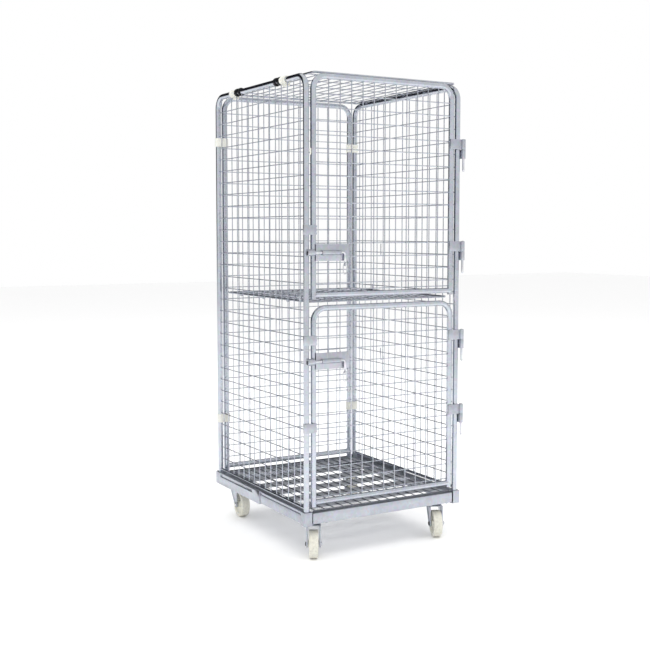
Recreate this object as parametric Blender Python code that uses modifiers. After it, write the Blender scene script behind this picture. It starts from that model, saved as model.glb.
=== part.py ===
"""Roll cage container: a wheeled base, three mesh panels, two front doors, a roof lid and a shelf.

Metres, +Z up. X runs along the front from left to right, the doors face -Y, and the wheels stand on Z = 0.
Every piece is one closed solid in its own object. A moving piece has its origin on its joint's axis.
"""
import math

import bmesh
import bpy
from mathutils import Matrix, Vector

# Driving dimensions
POST_X = 0.345            # corner post axis, left and right of the middle
POST_Y = 0.3915           # corner post axis, front and back of the middle
TOP_Z = 1.815             # axis of the top tubes
TUBE_R = 0.011            # frame tubes, 22 mm
CROSS_R = 0.0105          # bottom tube of a leaf, 21 mm
BEND_R = 0.050            # bend of a frame tube, on its axis
GAP = 0.0003              # what touching pieces keep between them

# Wire mesh
PITCH = 0.050
WIRE = 0.0036             # side of the square section that stands for a 4 mm wire
LAYER = WIRE / 2 + GAP / 2

# Base
BASE_Z0 = 0.136
BASE_Z1 = 0.188
SOCKET = 0.032
RAIL_Z0 = 0.1415
RAIL_Z1 = 0.1825
RAIL_DEPTH = 0.030
RAIL_WALL = 0.0025
POST_FOOT_Z = 0.155
SIDE_STEP_Y = -0.022      # where the side rail's raised rear plate ends
DECK_Z = 0.180            # top of the deck slats
SLAT_WIDTH = 0.075
SLAT_PITCH = 0.125
SLAT_COUNT = 6
SLAT_SHEET = 0.002
BEARER_X = 0.3265         # outer side of the two bearers under the slats
DECK_WIRE = 0.004
DECK_WIRE_PITCH = 0.042
DECK_WIRE_COUNT = 15
DECK_REACH = 0.370        # half the length of a deck wire
POST_BORE = 0.0118        # clearance bore round a frame tube
SIDE_CORE_X = (0.327, 0.352)
SIDE_FRONT_X = (0.3515, 0.357)
SIDE_REAR_X = (0.3505, 0.362)
SIDE_SLOT_Y = 0.045
SIDE_SLOT_Z = (0.170, 0.182)
SIDE_BAND_Z = (0.174, 0.1825)

# Doors and the back panel
LEAF_X = 0.315            # axis of a leaf's upright
LEAF_FOOT = 0.016         # how far an upright reaches below the bottom tube's axis
UPPER_DOOR_Z = (1.007, TOP_Z)
LOWER_DOOR_Z = (0.221, 0.957)
BACK_Z = (0.209, TOP_Z)
PANEL_SILL_Z = 0.200
PANEL_SILL_R = 0.006
DOOR_LOW_WIRE = 0.0185    # the lowest cross wire of a door, above its bottom tube's axis

# Hinges: the top of each strap, and which door it carries
HINGE_X = 0.3655
HINGE_Y = -0.4055
KNUCKLE_R = 0.0088
KNUCKLE_BORE = 0.0051
PIN_R = 0.0045
STRAP_TALL = 0.040
LUG_TALL = 0.036
PIN_DROP = 0.054
STRAP_T = 0.003
UPPER_HINGES = (1.609, 1.204)
LOWER_HINGES = (0.8485, 0.5445)
UPPER_STOPS = (1.249,)
LOWER_STOPS = (0.838, 0.508)
STOP_TALL = 0.036
BUFFER_Z = 1.537

# Bolts: the axis of each bolt, its plate and its throw
BOLT_Y = -0.4155
BOLT_R = 0.0048
SLEEVE_R = 0.0085
KEEPER_R = 0.0125
KEEPER_BORE = 0.0078
KEEPER_X = (-0.3545, -0.3245)
BOLT_TIP_X = -0.3240
HANDLE_X = -0.1915
HANDLE_DROP = 0.036
EYE_DROP = 0.0075
EYE_R = 0.0080
EYE_BORE = 0.0042
RING_HALF = 0.0078
RING_LONG = 0.037
RING_WIRE = 0.0018
LATCH_PLATE_X = (-0.3126, -0.167)
LATCH_PLATE_TALL = 0.063
LATCH_FACE_Y = -0.4085
LATCH_SHEET = 0.0025
LATCH_LEG_X = -0.3030
SLEEVE_X = (-0.292, -0.211)
UPPER_BOLT_Z = 1.165
LOWER_BOLT_Z = 0.759

# Lid and shelf
LID_Z = TOP_Z + TUBE_R + GAP + 0.0045
LID_BAR = 0.0045
LID_X = (-0.300, 0.345)
LID_Y = 0.370
LID_RING_Y = (0.160, 0.190)
LID_RING_R = 0.0145
LID_RING_WIRE = 0.0025
LID_CLIP_Y = 0.225
LID_CLIP_LONG = 0.042
LID_CLIP_R = 0.0155
LID_CROSS = (-0.30, -0.15, 0.0, 0.15, 0.30)
SHELF_Z = 0.980
SHELF_BAR = 0.004
SHELF_ROD_X = -0.325
SHELF_X = (-0.3125, 0.3225)
SHELF_Y = 0.355
SHELF_ROD_Y = 0.325
SHELF_RING_Y = (-0.21, 0.0, 0.21)
SHELF_FINGER_Y = (-0.225, 0.225)
SHELF_CROSS_COUNT = 14
HOOK_Y = 0.176
HOOK_TOPS = (1.188, 0.717)

# Casters
CASTER_X = 0.285
CASTER_Y = 0.338
CASTER_TRAIL = 0.036
WHEEL_R = 0.054
WHEEL_HALF = 0.0175
HUB_HALF = 0.0205
FORK_INNER = 0.0215
FORK_T = 0.0035
AXLE_R = 0.0052
NUT_R = 0.0085
PLATE_HALF = (0.050, 0.040)
PLATE_T = 0.003
RACE_R = 0.0265
CASTER_HEADINGS = {"fl": 209.0, "fr": 204.0, "rl": 183.0, "rr": 196.0}

# Clips that tie the back panel to the side panels
CLIP_TALL = 0.036
CLIP_HEIGHTS = {"upper": 1.625, "lower": 0.425}
CLIP_REACH = 0.0150

ZINC = ("zinc_plated_steel", (0.62, 0.65, 0.72), 0.28, 0.85)
BRIGHT = ("bright_zinc_wire", (0.70, 0.72, 0.76), 0.22, 0.9)
NYLON = ("cream_nylon", (0.80, 0.78, 0.70), 0.45, 0.0)
DARK = ("blackened_steel", (0.06, 0.06, 0.07), 0.4, 0.7)


# Scene housekeeping
def clear_scene():
    for item in list(bpy.data.objects):
        bpy.data.objects.remove(item, do_unlink=True)


def make_collection(name):
    group = bpy.data.collections.new(name)
    bpy.context.scene.collection.children.link(group)
    return group


def make_material(spec, node_name):
    name, colour, roughness, metallic = spec
    material = bpy.data.materials.new(f"{node_name}_{name}")
    material.use_nodes = True
    shader = material.node_tree.nodes["Principled BSDF"]
    shader.inputs["Base Color"].default_value = (*colour, 1.0)
    shader.inputs["Roughness"].default_value = roughness
    shader.inputs["Metallic"].default_value = metallic
    return material


# Shapes, each returned as a mesh in the cage's own coordinates
def mesh_from(work):
    mesh = bpy.data.meshes.new("shape")
    bmesh.ops.recalc_face_normals(work, faces=work.faces)
    work.to_mesh(mesh)
    work.free()
    return mesh


def add_box(work, low, high):
    low = Vector(low)
    high = Vector(high)
    size = high - low
    place = Matrix.Translation((low + high) / 2) @ Matrix.Diagonal((size.x, size.y, size.z, 1.0))
    bmesh.ops.create_cube(work, size=1.0, matrix=place)


def box(low, high):
    work = bmesh.new()
    add_box(work, low, high)
    return mesh_from(work)


def boxes(spans):
    work = bmesh.new()
    for low, high in spans:
        add_box(work, low, high)
    return mesh_from(work)


def axis_turn(axis):
    return Vector((0, 0, 1)).rotation_difference(Vector(axis)).to_matrix().to_4x4()


def cylinder(centre, axis, radius, length, segments=16, radius_top=None):
    work = bmesh.new()
    place = Matrix.Translation(centre) @ axis_turn(axis)
    bmesh.ops.create_cone(work, cap_ends=True, segments=segments, radius1=radius,
                          radius2=radius if radius_top is None else radius_top, depth=length, matrix=place)
    return mesh_from(work)


def evaluated_copy(item):
    bpy.context.view_layer.update()
    depsgraph = bpy.context.evaluated_depsgraph_get()
    return bpy.data.meshes.new_from_object(item.evaluated_get(depsgraph))


def weld(mesh):
    work = bmesh.new()
    work.from_mesh(mesh)
    bmesh.ops.remove_doubles(work, verts=work.verts, dist=0.00001)
    bmesh.ops.recalc_face_normals(work, faces=work.faces)
    work.to_mesh(mesh)
    work.free()
    return mesh


def curve_shape(curve):
    item = bpy.data.objects.new("curve", curve)
    bpy.context.scene.collection.objects.link(item)
    mesh = weld(evaluated_copy(item))
    bpy.data.objects.remove(item, do_unlink=True)
    return mesh


def add_spline(curve, points, cyclic):
    spline = curve.splines.new("POLY")
    spline.points.add(len(points) - 1)
    for slot, point in zip(spline.points, points):
        slot.co = (*point, 1.0)
    spline.use_cyclic_u = cyclic


def tube(points, radius, resolution=3, cyclic=False):
    curve = bpy.data.curves.new("tube", "CURVE")
    curve.dimensions = "3D"
    curve.bevel_depth = radius
    curve.bevel_resolution = resolution
    curve.use_fill_caps = not cyclic
    add_spline(curve, points, cyclic)
    return curve_shape(curve)


def plate_outline(points, thickness, place):
    curve = bpy.data.curves.new("outline", "CURVE")
    curve.dimensions = "2D"
    curve.fill_mode = "BOTH"
    curve.extrude = thickness / 2
    add_spline(curve, [(x, y, 0.0) for x, y in points], True)
    mesh = curve_shape(curve)
    mesh.transform(place)
    return mesh


def turned(profile, place, steps=16):
    """A closed profile of (radius, height) pairs, turned about Z by a Screw modifier."""
    work = bmesh.new()
    points = [work.verts.new((radius, 0.0, height)) for radius, height in profile]
    for here, after in zip(points, points[1:] + points[:1]):
        work.edges.new((here, after))
    mesh = bpy.data.meshes.new("profile")
    work.to_mesh(mesh)
    work.free()
    item = bpy.data.objects.new("profile", mesh)
    bpy.context.scene.collection.objects.link(item)
    screw = item.modifiers.new("turn", "SCREW")
    screw.axis = "Z"
    screw.angle = math.tau
    screw.steps = steps
    screw.render_steps = steps
    screw.use_merge_vertices = True
    screw.merge_threshold = 0.0001
    result = weld(evaluated_copy(item))
    bpy.data.objects.remove(item, do_unlink=True)
    result.transform(place)
    return result


def combine(base, others, operation="UNION"):
    item = bpy.data.objects.new("base", base)
    bpy.context.scene.collection.objects.link(item)
    tools = []
    for other in others:
        tool = bpy.data.objects.new("tool", other)
        bpy.context.scene.collection.objects.link(tool)
        tools.append(tool)
        step = item.modifiers.new("step", "BOOLEAN")
        step.operation = operation
        step.solver = "EXACT"
        step.object = tool
    result = evaluated_copy(item)
    for used in tools + [item]:
        bpy.data.objects.remove(used, do_unlink=True)
    return result


def hollow(centre, axis, radius, bore, length, segments=16):
    outer = cylinder(centre, axis, radius, length, segments)
    inner = cylinder(centre, axis, bore, length * 2, segments)
    return combine(outer, [inner], "DIFFERENCE")


def torus(centre, axis, major, minor, around=10, section=4):
    points = []
    for index in range(around):
        angle = math.tau * (index + 0.5) / around
        points.append((major * math.cos(angle), major * math.sin(angle), 0.0))
    mesh = tube(points, minor, resolution=section // 2 - 2, cyclic=True)
    mesh.transform(Matrix.Translation(centre) @ axis_turn(axis))
    return mesh


# Objects
def add_part(name, mesh, spec, pivot, parent):
    mesh.transform(Matrix.Translation(-Vector(pivot)))
    mesh.name = name
    mesh.materials.clear()
    mesh.materials.append(make_material(spec, name))
    mesh.shade_smooth()
    mesh.set_sharp_from_angle(angle=math.radians(35))
    item = bpy.data.objects.new(name, mesh)
    PARTS.objects.link(item)
    item.parent = parent
    item.location = Vector(pivot) - parent_place(parent)
    return item


def parent_place(parent):
    place = Vector((0, 0, 0))
    while parent is not None:
        place += parent.location
        parent = parent.parent
    return place


def add_pivot(name, place, parent):
    empty = bpy.data.objects.new(name, None)
    empty.empty_display_size = 0.03
    PARTS.objects.link(empty)
    empty.parent = parent
    empty.location = Vector(place) - parent_place(parent)
    return empty


# Wire mesh panels, drawn in a flat (across, up) plane and turned into place
def inverted_u(half, foot, top, bend=BEND_R, steps=5):
    points = [(-half, foot)]
    for side, start in ((-1, math.pi), (1, math.pi / 2)):
        for index in range(steps + 1):
            angle = start - (math.pi / 2) * index / steps
            across = side * (half - bend) + bend * math.cos(angle)
            points.append((across, top - bend + bend * math.sin(angle)))
    points.append((half, foot))
    return points


def wire_top(across, half, top, bend=BEND_R):
    """Height of the bent tube's axis above a wire that stands near an upright."""
    inset = half - abs(across)
    if inset >= bend:
        return top
    return top - bend + math.sqrt(bend * bend - (bend - inset) ** 2)


def grid(low, high):
    first = math.ceil(round(low / PITCH, 4))
    last = math.floor(round(high / PITCH, 4))
    return [PITCH * index for index in range(first, last + 1)]


def wire_columns(half, margin=0.030):
    count = int((half - margin) * 2 / PITCH) + 1
    return [PITCH * (index - (count - 1) / 2) for index in range(count)]


def framed_mesh(half, bottom, top, foot, sill_radius, turn, low_wires=()):
    """A bent tube frame with its sill tube and both layers of wires, as one welded solid."""
    frame = tube([(across, 0.0, up) for across, up in inverted_u(half, foot, top)], TUBE_R)
    sill = tube([(-half, 0.0, bottom), (half, 0.0, bottom)], sill_radius)
    uprights = []
    for across in wire_columns(half):
        uprights.append(((across - WIRE / 2, -LAYER - WIRE / 2, bottom),
                         (across + WIRE / 2, -LAYER + WIRE / 2, wire_top(across, half, top))))
    crossings = []
    for up in list(low_wires) + grid(bottom + 0.035, top - 0.035):
        crossings.append(((-half, LAYER - WIRE / 2, up - WIRE / 2),
                          (half, LAYER + WIRE / 2, up + WIRE / 2)))
    mesh = combine(frame, [sill, boxes(uprights), boxes(crossings)])
    mesh.transform(turn)
    return mesh


def side_turn(side):
    """The panel's plane stands along Y; its cross wires lie on the inner face."""
    return Matrix.Translation((side * POST_X, 0, 0)) @ Matrix.Rotation(side * math.pi / 2, 4, "Z")


# Base
def corner_bracket(side_x, side_y):
    x = side_x * POST_X
    y = side_y * POST_Y
    half = SOCKET / 2
    post = box((x - half, y - half, BASE_Z0), (x + half, y + half, BASE_Z1))
    sheet_z = (BASE_Z0 + GAP, BASE_Z0 + 0.0035)
    spread = [side_x * (POST_X - half - 0.001), side_x * (CASTER_X - PLATE_HALF[0] - 0.002)]
    depth = [side_y * (POST_Y - 0.006), side_y * (CASTER_Y - PLATE_HALF[1] - 0.002)]
    gusset = box((min(spread), min(depth), sheet_z[0]), (max(spread), max(depth), sheet_z[1]))
    reach = [x - side_x * 0.004, spread[0] - side_x * 0.004]
    ear = box((min(reach), y - half * 0.7, sheet_z[0]), (max(reach), y + half * 0.7, sheet_z[1]))
    bore = cylinder((x, y, POST_FOOT_Z - 0.002 + 0.05), (0, 0, 1), POST_BORE, 0.1, 12)
    whole = combine(post, [gusset, ear])
    return combine(whole, [bore], "DIFFERENCE")


def cross_rail(side_y):
    outer_y = side_y * (POST_Y + SOCKET / 2 - 0.001)
    inner_y = outer_y - side_y * RAIL_DEPTH
    end = POST_X - SOCKET / 2 - 0.0045
    low = (-end, min(outer_y, inner_y), RAIL_Z0)
    high = (end, max(outer_y, inner_y), RAIL_Z1)
    shell = box(low, high)
    hole = box((low[0] - 0.01, low[1] + RAIL_WALL, low[2] + RAIL_WALL),
               (high[0] + 0.01, high[1] - RAIL_WALL, high[2] - RAIL_WALL))
    return combine(shell, [hole], "DIFFERENCE")


def side_rail(side):
    """Box rail with a recessed front plate and a raised rear plate, each with its long slot."""
    end = POST_Y - SOCKET / 2 - 0.0008
    top = BASE_Z1 - 0.0015
    low = BASE_Z0 + 0.0040
    inner, outer = SIDE_CORE_X
    core = box((inner, -end, low), (outer, end, top))
    front_plate = box((SIDE_FRONT_X[0], -end, low), (SIDE_FRONT_X[1], SIDE_STEP_Y, SIDE_BAND_Z[0]))
    front_lip = box((SIDE_FRONT_X[0], -end, SIDE_BAND_Z[1]), (SIDE_FRONT_X[1], SIDE_STEP_Y, top))
    rear_plate = box((SIDE_REAR_X[0], SIDE_STEP_Y - 0.001, BASE_Z0), (SIDE_REAR_X[1], end, BASE_Z1 + 0.002))
    slot = box((0.3555, SIDE_SLOT_Y, SIDE_SLOT_Z[0]), (0.370, end - 0.012, SIDE_SLOT_Z[1]))
    inside = box((inner + RAIL_WALL, -end - 0.01, low + RAIL_WALL),
                 (outer - RAIL_WALL, end + 0.01, top - RAIL_WALL))
    whole = combine(core, [front_plate, front_lip, rear_plate])
    whole = combine(whole, [slot, inside], "DIFFERENCE")
    if side < 0:
        whole.transform(Matrix.Diagonal((-1, 1, 1, 1)))
        whole.flip_normals()
    return whole


def deck_slats():
    front = -(POST_Y + SOCKET / 2 - 0.001 - RAIL_DEPTH)
    slat_x = BEARER_X - 0.004
    spans = []
    for index in range(SLAT_COUNT):
        low_y = front + (SLAT_PITCH - SLAT_WIDTH) + SLAT_PITCH * index
        spans.append(((-slat_x, low_y, DECK_Z - SLAT_SHEET), (slat_x, low_y + SLAT_WIDTH, DECK_Z)))
    bearers = []
    for low_x in (-BEARER_X, BEARER_X - 0.008):
        bearers.append(box((low_x, front + 0.002, DECK_Z - 0.012),
                           (low_x + 0.008, -front - 0.002, DECK_Z - 0.0005)))
    return combine(bearers[0], [boxes(spans), bearers[1]])


def deck_wires():
    low_z = DECK_Z + GAP
    high_z = low_z + DECK_WIRE
    spans = []
    for index in range(DECK_WIRE_COUNT):
        x = DECK_WIRE_PITCH * (index - (DECK_WIRE_COUNT - 1) / 2)
        spans.append(((x - DECK_WIRE / 2, -DECK_REACH, low_z), (x + DECK_WIRE / 2, DECK_REACH, high_z)))
    end_x = DECK_WIRE_PITCH * (DECK_WIRE_COUNT - 1) / 2 + 0.012
    end_bars = []
    for low_y in (-DECK_REACH - 0.002, DECK_REACH - 0.003):
        end_bars.append(box((-end_x, low_y, low_z - 0.0001), (end_x, low_y + 0.005, high_z - 0.0005)))
    return combine(end_bars[0], [boxes(spans), end_bars[1]])


# Doors
def door_leaf(span, hinges, stops):
    bottom, top = span
    mesh = framed_mesh(LEAF_X, bottom, top, bottom - LEAF_FOOT, CROSS_R,
                       Matrix.Translation((0, -POST_Y, 0)), [bottom + DOOR_LOW_WIRE])
    pads = []
    knuckle_holes = []
    for strap_top in hinges:
        low = strap_top - STRAP_TALL
        pads.append(box((LEAF_X - 0.010, HINGE_Y - STRAP_T / 2, low),
                        (HINGE_X, HINGE_Y + STRAP_T / 2, strap_top)))
        pads.append(box((LEAF_X - 0.006, HINGE_Y, low + 0.003),
                        (LEAF_X + 0.006, -POST_Y - 0.006, strap_top - 0.003)))
        middle = strap_top - STRAP_TALL / 2
        pads.append(cylinder((HINGE_X, HINGE_Y, middle), (0, 0, 1), KNUCKLE_R, STRAP_TALL - 0.0002, 14))
        knuckle_holes.append(cylinder((HINGE_X, HINGE_Y, middle), (0, 0, 1), KNUCKLE_BORE,
                                      STRAP_TALL * 1.5, 12))
    for stop_middle in stops:
        low = stop_middle - STOP_TALL / 2
        high = stop_middle + STOP_TALL / 2
        face = HINGE_Y - STRAP_T / 2
        edge = -POST_X - 0.0165
        pads.append(box((edge, face, low), (-LEAF_X + 0.006, face + STRAP_T, high)))
        pads.append(box((edge + 0.0002, face + 0.0008, low + 0.0002),
                        (edge + STRAP_T, -POST_Y - 0.002, high - 0.0002)))
        pads.append(box((-LEAF_X - 0.006, HINGE_Y, low + 0.003),
                        (-LEAF_X + 0.0055, -POST_Y - 0.006, high - 0.003)))
    mesh = combine(mesh, pads)
    return combine(mesh, knuckle_holes, "DIFFERENCE")


def hinge_lug(strap_top):
    high = strap_top - STRAP_TALL - 0.0005
    low = high - LUG_TALL
    middle = (high + low) / 2
    knuckle = cylinder((HINGE_X, HINGE_Y, middle), (0, 0, 1), KNUCKLE_R, LUG_TALL, 14)
    outer = POST_X + TUBE_R + GAP
    tab = box((outer, HINGE_Y, low + 0.0005), (outer + STRAP_T, HINGE_Y + 0.022, high - 0.0005))
    hole = cylinder((HINGE_X, HINGE_Y, middle), (0, 0, 1), KNUCKLE_BORE, LUG_TALL * 1.5, 12)
    return combine(combine(knuckle, [tab]), [hole], "DIFFERENCE")


def hinge_pin(strap_top):
    top = strap_top + 0.0015
    bottom = strap_top - STRAP_TALL - LUG_TALL - PIN_DROP
    points = [(HINGE_X, HINGE_Y, top), (HINGE_X, HINGE_Y, bottom + 0.006),
              (HINGE_X - 0.001, HINGE_Y - 0.001, bottom),
              (HINGE_X - 0.006, HINGE_Y - 0.004, bottom - 0.001)]
    return tube(points, PIN_R, resolution=3)


def latch_plate(bolt_z):
    low_z = bolt_z - LATCH_PLATE_TALL / 2
    high_z = bolt_z + LATCH_PLATE_TALL / 2
    back = -POST_Y - LAYER - WIRE / 2 - 0.0005
    left, right = LATCH_PLATE_X
    face = box((left, LATCH_FACE_Y, low_z), (right, LATCH_FACE_Y + LATCH_SHEET, high_z))
    legs = []
    for low_x in (LATCH_LEG_X, right - LATCH_SHEET - 0.0001):
        legs.append(box((low_x, LATCH_FACE_Y + 0.001, low_z + 0.0004),
                        (low_x + LATCH_SHEET, back, high_z - 0.0004)))
    centre = ((SLEEVE_X[0] + SLEEVE_X[1]) / 2, BOLT_Y, bolt_z)
    length = SLEEVE_X[1] - SLEEVE_X[0]
    sleeve = cylinder(centre, (1, 0, 0), SLEEVE_R, length, 14)
    bore = cylinder(centre, (1, 0, 0), BOLT_R + 0.0007, length * 1.5, 12)
    return combine(combine(face, legs + [sleeve]), [bore], "DIFFERENCE")


def bolt(bolt_z):
    bend = 0.008
    points = [(BOLT_TIP_X, BOLT_Y, bolt_z)]
    for index in range(5):
        angle = math.pi / 2 * (1 - index / 4)
        points.append((HANDLE_X - bend + bend * math.cos(angle), BOLT_Y,
                       bolt_z - bend + bend * math.sin(angle)))
    foot = bolt_z - HANDLE_DROP
    points.append((HANDLE_X, BOLT_Y, foot))
    rod = tube(points, BOLT_R, resolution=2)
    eye = cylinder((HANDLE_X, BOLT_Y, foot - EYE_DROP), (1, 0, 0), EYE_R, 0.003, 14)
    hole = cylinder((HANDLE_X, BOLT_Y, foot - EYE_DROP), (1, 0, 0), EYE_BORE, 0.02, 10)
    return combine(combine(rod, [eye]), [hole], "DIFFERENCE")


def ring_place(bolt_z):
    """Where the ring's top runs through the eye: the line it swings about."""
    return (HANDLE_X, BOLT_Y, bolt_z - HANDLE_DROP - EYE_DROP - 0.0006)


def pull_ring(bolt_z):
    x, y, z = ring_place(bolt_z)
    points = []
    for middle, first in ((z - RING_HALF, 0.0), (z - RING_LONG + RING_HALF, math.pi)):
        for index in range(6):
            angle = first + math.pi * index / 5
            points.append((x + RING_HALF * math.cos(angle), y, middle + RING_HALF * math.sin(angle)))
    return tube(points, RING_WIRE, resolution=1, cyclic=True)


def keeper(bolt_z):
    left, right = KEEPER_X
    return hollow(((left + right) / 2, BOLT_Y, bolt_z), (1, 0, 0), KEEPER_R, KEEPER_BORE, right - left, 16)


def door_buffer():
    x = -(POST_X + LEAF_X) / 2
    return cylinder((x, -POST_Y - 0.006, BUFFER_Z), (0, 0, 1), 0.0030, 0.024, 10)


# Lid and shelf
def grille(span_x, half_y, z, bar, margin, along_layer, rows):
    """A bar bent round all four sides, wires from front to back and a layer of cross wires."""
    left, right = span_x
    loop = [(left, -half_y, z), (right, -half_y, z), (right, half_y, z), (left, half_y, z)]
    border = tube(loop, bar, resolution=2, cyclic=True)
    count = int((right - left - margin) / PITCH) + 1
    along_z = z + along_layer * LAYER
    across_z = z - along_layer * LAYER
    along = []
    for index in range(count):
        x = (left + right) / 2 + PITCH * (index - (count - 1) / 2)
        along.append(((x - WIRE / 2, -half_y, along_z - WIRE / 2),
                      (x + WIRE / 2, half_y, along_z + WIRE / 2)))
    across = []
    for y in rows:
        across.append(((left, y - WIRE / 2, across_z - WIRE / 2),
                       (right, y + WIRE / 2, across_z + WIRE / 2)))
    return border, [boxes(along), boxes(across)]


def lid():
    left = LID_X[0]
    border, extras = grille(LID_X, LID_Y, LID_Z, LID_BAR, 0.08, -1, LID_CROSS)
    for side in (-1, 1):
        for ring_y in LID_RING_Y:
            y = side * ring_y
            extras.append(torus((-POST_X, y, TOP_Z), (0, 1, 0), LID_RING_R, LID_RING_WIRE, around=12))
            start = (-POST_X + 0.0095, y, TOP_Z + 0.0110)
            extras.append(tube([start, (left, y, LID_Z - 0.0005)], 0.0022, resolution=1))
    return combine(border, extras)


def lid_clip(side):
    y = side * LID_CLIP_Y
    ring = cylinder((-POST_X, y, TOP_Z), (0, 1, 0), LID_CLIP_R, LID_CLIP_LONG, 16)
    tongue = box((-POST_X + 0.001, y - LID_CLIP_LONG / 2 + 0.001, TOP_Z - 0.024),
                 (-POST_X + 0.0135, y + LID_CLIP_LONG / 2 - 0.001, TOP_Z - 0.008))
    bore = cylinder((-POST_X, y, TOP_Z), (0, 1, 0), POST_BORE, LID_CLIP_LONG * 2, 12)
    split = box((-POST_X - 0.0015, y - LID_CLIP_LONG, TOP_Z - 0.030),
                (-POST_X + 0.0035, y + LID_CLIP_LONG, TOP_Z - 0.002))
    return combine(combine(ring, [tongue]), [bore, split], "DIFFERENCE")


def shelf():
    left, right = SHELF_X
    rows = [PITCH * (index - (SHELF_CROSS_COUNT - 1) / 2) for index in range(SHELF_CROSS_COUNT)]
    border, extras = grille(SHELF_X, SHELF_Y, SHELF_Z, SHELF_BAR, 0.06, 1, rows)
    for y in SHELF_RING_Y:
        extras.append(torus((SHELF_ROD_X, y, SHELF_Z), (0, 1, 0), 0.0072, 0.0022))
        extras.append(tube([(SHELF_ROD_X + 0.0065, y, SHELF_Z), (left, y, SHELF_Z)], 0.0021, resolution=1))
    for y in SHELF_FINGER_Y:
        rest_z = 20 * PITCH + WIRE / 2 + 0.0004 + 0.0022
        finger = [(right - 0.001, y, SHELF_Z), (0.3355, y, SHELF_Z + 0.004), (0.3372, y, rest_z - 0.004),
                  (0.3385, y, rest_z), (0.3430, y, rest_z)]
        extras.append(tube(finger, 0.0022, resolution=1))
    return combine(border, extras)


def shelf_rod():
    wire_z = 20 * PITCH
    inner_x = -POST_X + 0.0078
    end = [(-POST_X - 0.004, wire_z - 0.002), (-POST_X - 0.004, wire_z + 0.004),
           (-POST_X + 0.001, wire_z + 0.0070), (inner_x, wire_z + 0.003),
           (inner_x, SHELF_Z + 0.006), (SHELF_ROD_X - 0.002, SHELF_Z)]
    front = [(x, -SHELF_ROD_Y, z) for x, z in end]
    back = [(x, SHELF_ROD_Y, z) for x, z in reversed(end)]
    middle = [(SHELF_ROD_X, -SHELF_ROD_Y + 0.006, SHELF_Z), (SHELF_ROD_X, SHELF_ROD_Y - 0.006, SHELF_Z)]
    return tube(front + middle + back, 0.0035, resolution=2)


# Clips and hooks
def corner_clip(side, height):
    x_out = side * (POST_X + CLIP_REACH)
    x_in = side * (LEAF_X - CLIP_REACH)
    low = height - CLIP_TALL / 2
    block = box((min(x_out, x_in), POST_Y - CLIP_REACH, low),
                (max(x_out, x_in), POST_Y + CLIP_REACH, low + CLIP_TALL))
    bores = []
    for x in (side * POST_X, side * LEAF_X):
        bores.append(cylinder((x, POST_Y, height), (0, 0, 1), POST_BORE, CLIP_TALL * 2, 12))
    return combine(block, bores, "DIFFERENCE")


def hold_back_hook(top_z):
    x = POST_X + LAYER + WIRE / 2 + 0.0031
    y = HOOK_Y
    points = [(x, y, top_z), (x, y, top_z - 0.047), (x + 0.003, y, top_z - 0.053),
              (x + 0.009, y, top_z - 0.054), (x + 0.013, y, top_z - 0.048), (x + 0.013, y, top_z - 0.038)]
    return tube(points, 0.0027, resolution=2)


# Casters
def heading_turn(heading):
    """Turns a caster drawn trailing towards +Y to a compass heading, clockwise from +Y."""
    return Matrix.Rotation(-math.radians(heading), 4, "Z")


def caster_plate(centre):
    x, y = centre
    top = BASE_Z0 - GAP
    half_x, half_y = PLATE_HALF
    plate = box((x - half_x, y - half_y, top - PLATE_T), (x + half_x, y + half_y, top))
    race = cylinder((x, y, top - 0.0055), (0, 0, 1), RACE_R - 0.0025, 0.006, 14, radius_top=RACE_R + 0.0005)
    return combine(plate, [race])


def fork_outline():
    axle_z = WHEEL_R
    top = BASE_Z0 - 0.012
    points = [(-0.026, top), (-0.026, top - 0.012)]
    for index in range(5):
        angle = math.radians(200 + 37 * index)
        points.append((CASTER_TRAIL + 0.012 * math.cos(angle), axle_z + 0.012 * math.sin(angle)))
    points += [(0.040, top - 0.010), (0.036, top)]
    return points


def caster_fork(place):
    top = BASE_Z0 - 0.0095
    crown = cylinder((0, 0, top - 0.002), (0, 0, 1), RACE_R, 0.004, 14)
    bridge = box((-FORK_INNER - FORK_T, -0.024, top - 0.004), (FORK_INNER + FORK_T, 0.034, top - 0.0005))
    legs = []
    for side in (-1, 1):
        stand = Matrix.Rotation(math.pi / 2, 4, "Y") @ Matrix.Rotation(math.pi / 2, 4, "Z")
        stand = Matrix.Translation((side * (FORK_INNER + FORK_T / 2), 0, 0)) @ stand
        legs.append(plate_outline([(y, z) for y, z in fork_outline()], FORK_T - 0.0002, stand))
    bore = cylinder((0, CASTER_TRAIL, WHEEL_R), (1, 0, 0), AXLE_R + 0.001, 0.1, 8)
    mesh = combine(combine(crown, [bridge] + legs), [bore], "DIFFERENCE")
    mesh.transform(place)
    return mesh


def caster_wheel(place):
    bore = AXLE_R + 0.0014
    profile = [(bore, -HUB_HALF), (bore, HUB_HALF), (0.0150, HUB_HALF), (0.0175, 0.0115),
               (0.0390, 0.0100), (0.0420, WHEEL_HALF), (0.0510, WHEEL_HALF), (WHEEL_R, 0.0130)]
    profile += [(radius, -height) for radius, height in reversed(profile[2:])]
    stand = Matrix.Translation((0, CASTER_TRAIL, WHEEL_R)) @ Matrix.Rotation(math.pi / 2, 4, "Y")
    return turned(profile, place @ stand)


def caster_axle(place):
    face = FORK_INNER + FORK_T + GAP
    centre = Vector((0, CASTER_TRAIL, WHEEL_R))
    rod = cylinder(centre, (1, 0, 0), AXLE_R, 2 * face + 0.010, 8)
    head = cylinder(centre + Vector((face + 0.003, 0, 0)), (1, 0, 0), NUT_R, 0.006, 6)
    nut = cylinder(centre - Vector((face + 0.003, 0, 0)), (1, 0, 0), NUT_R, 0.006, 6)
    mesh = combine(rod, [head, nut])
    mesh.transform(place)
    return mesh


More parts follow.
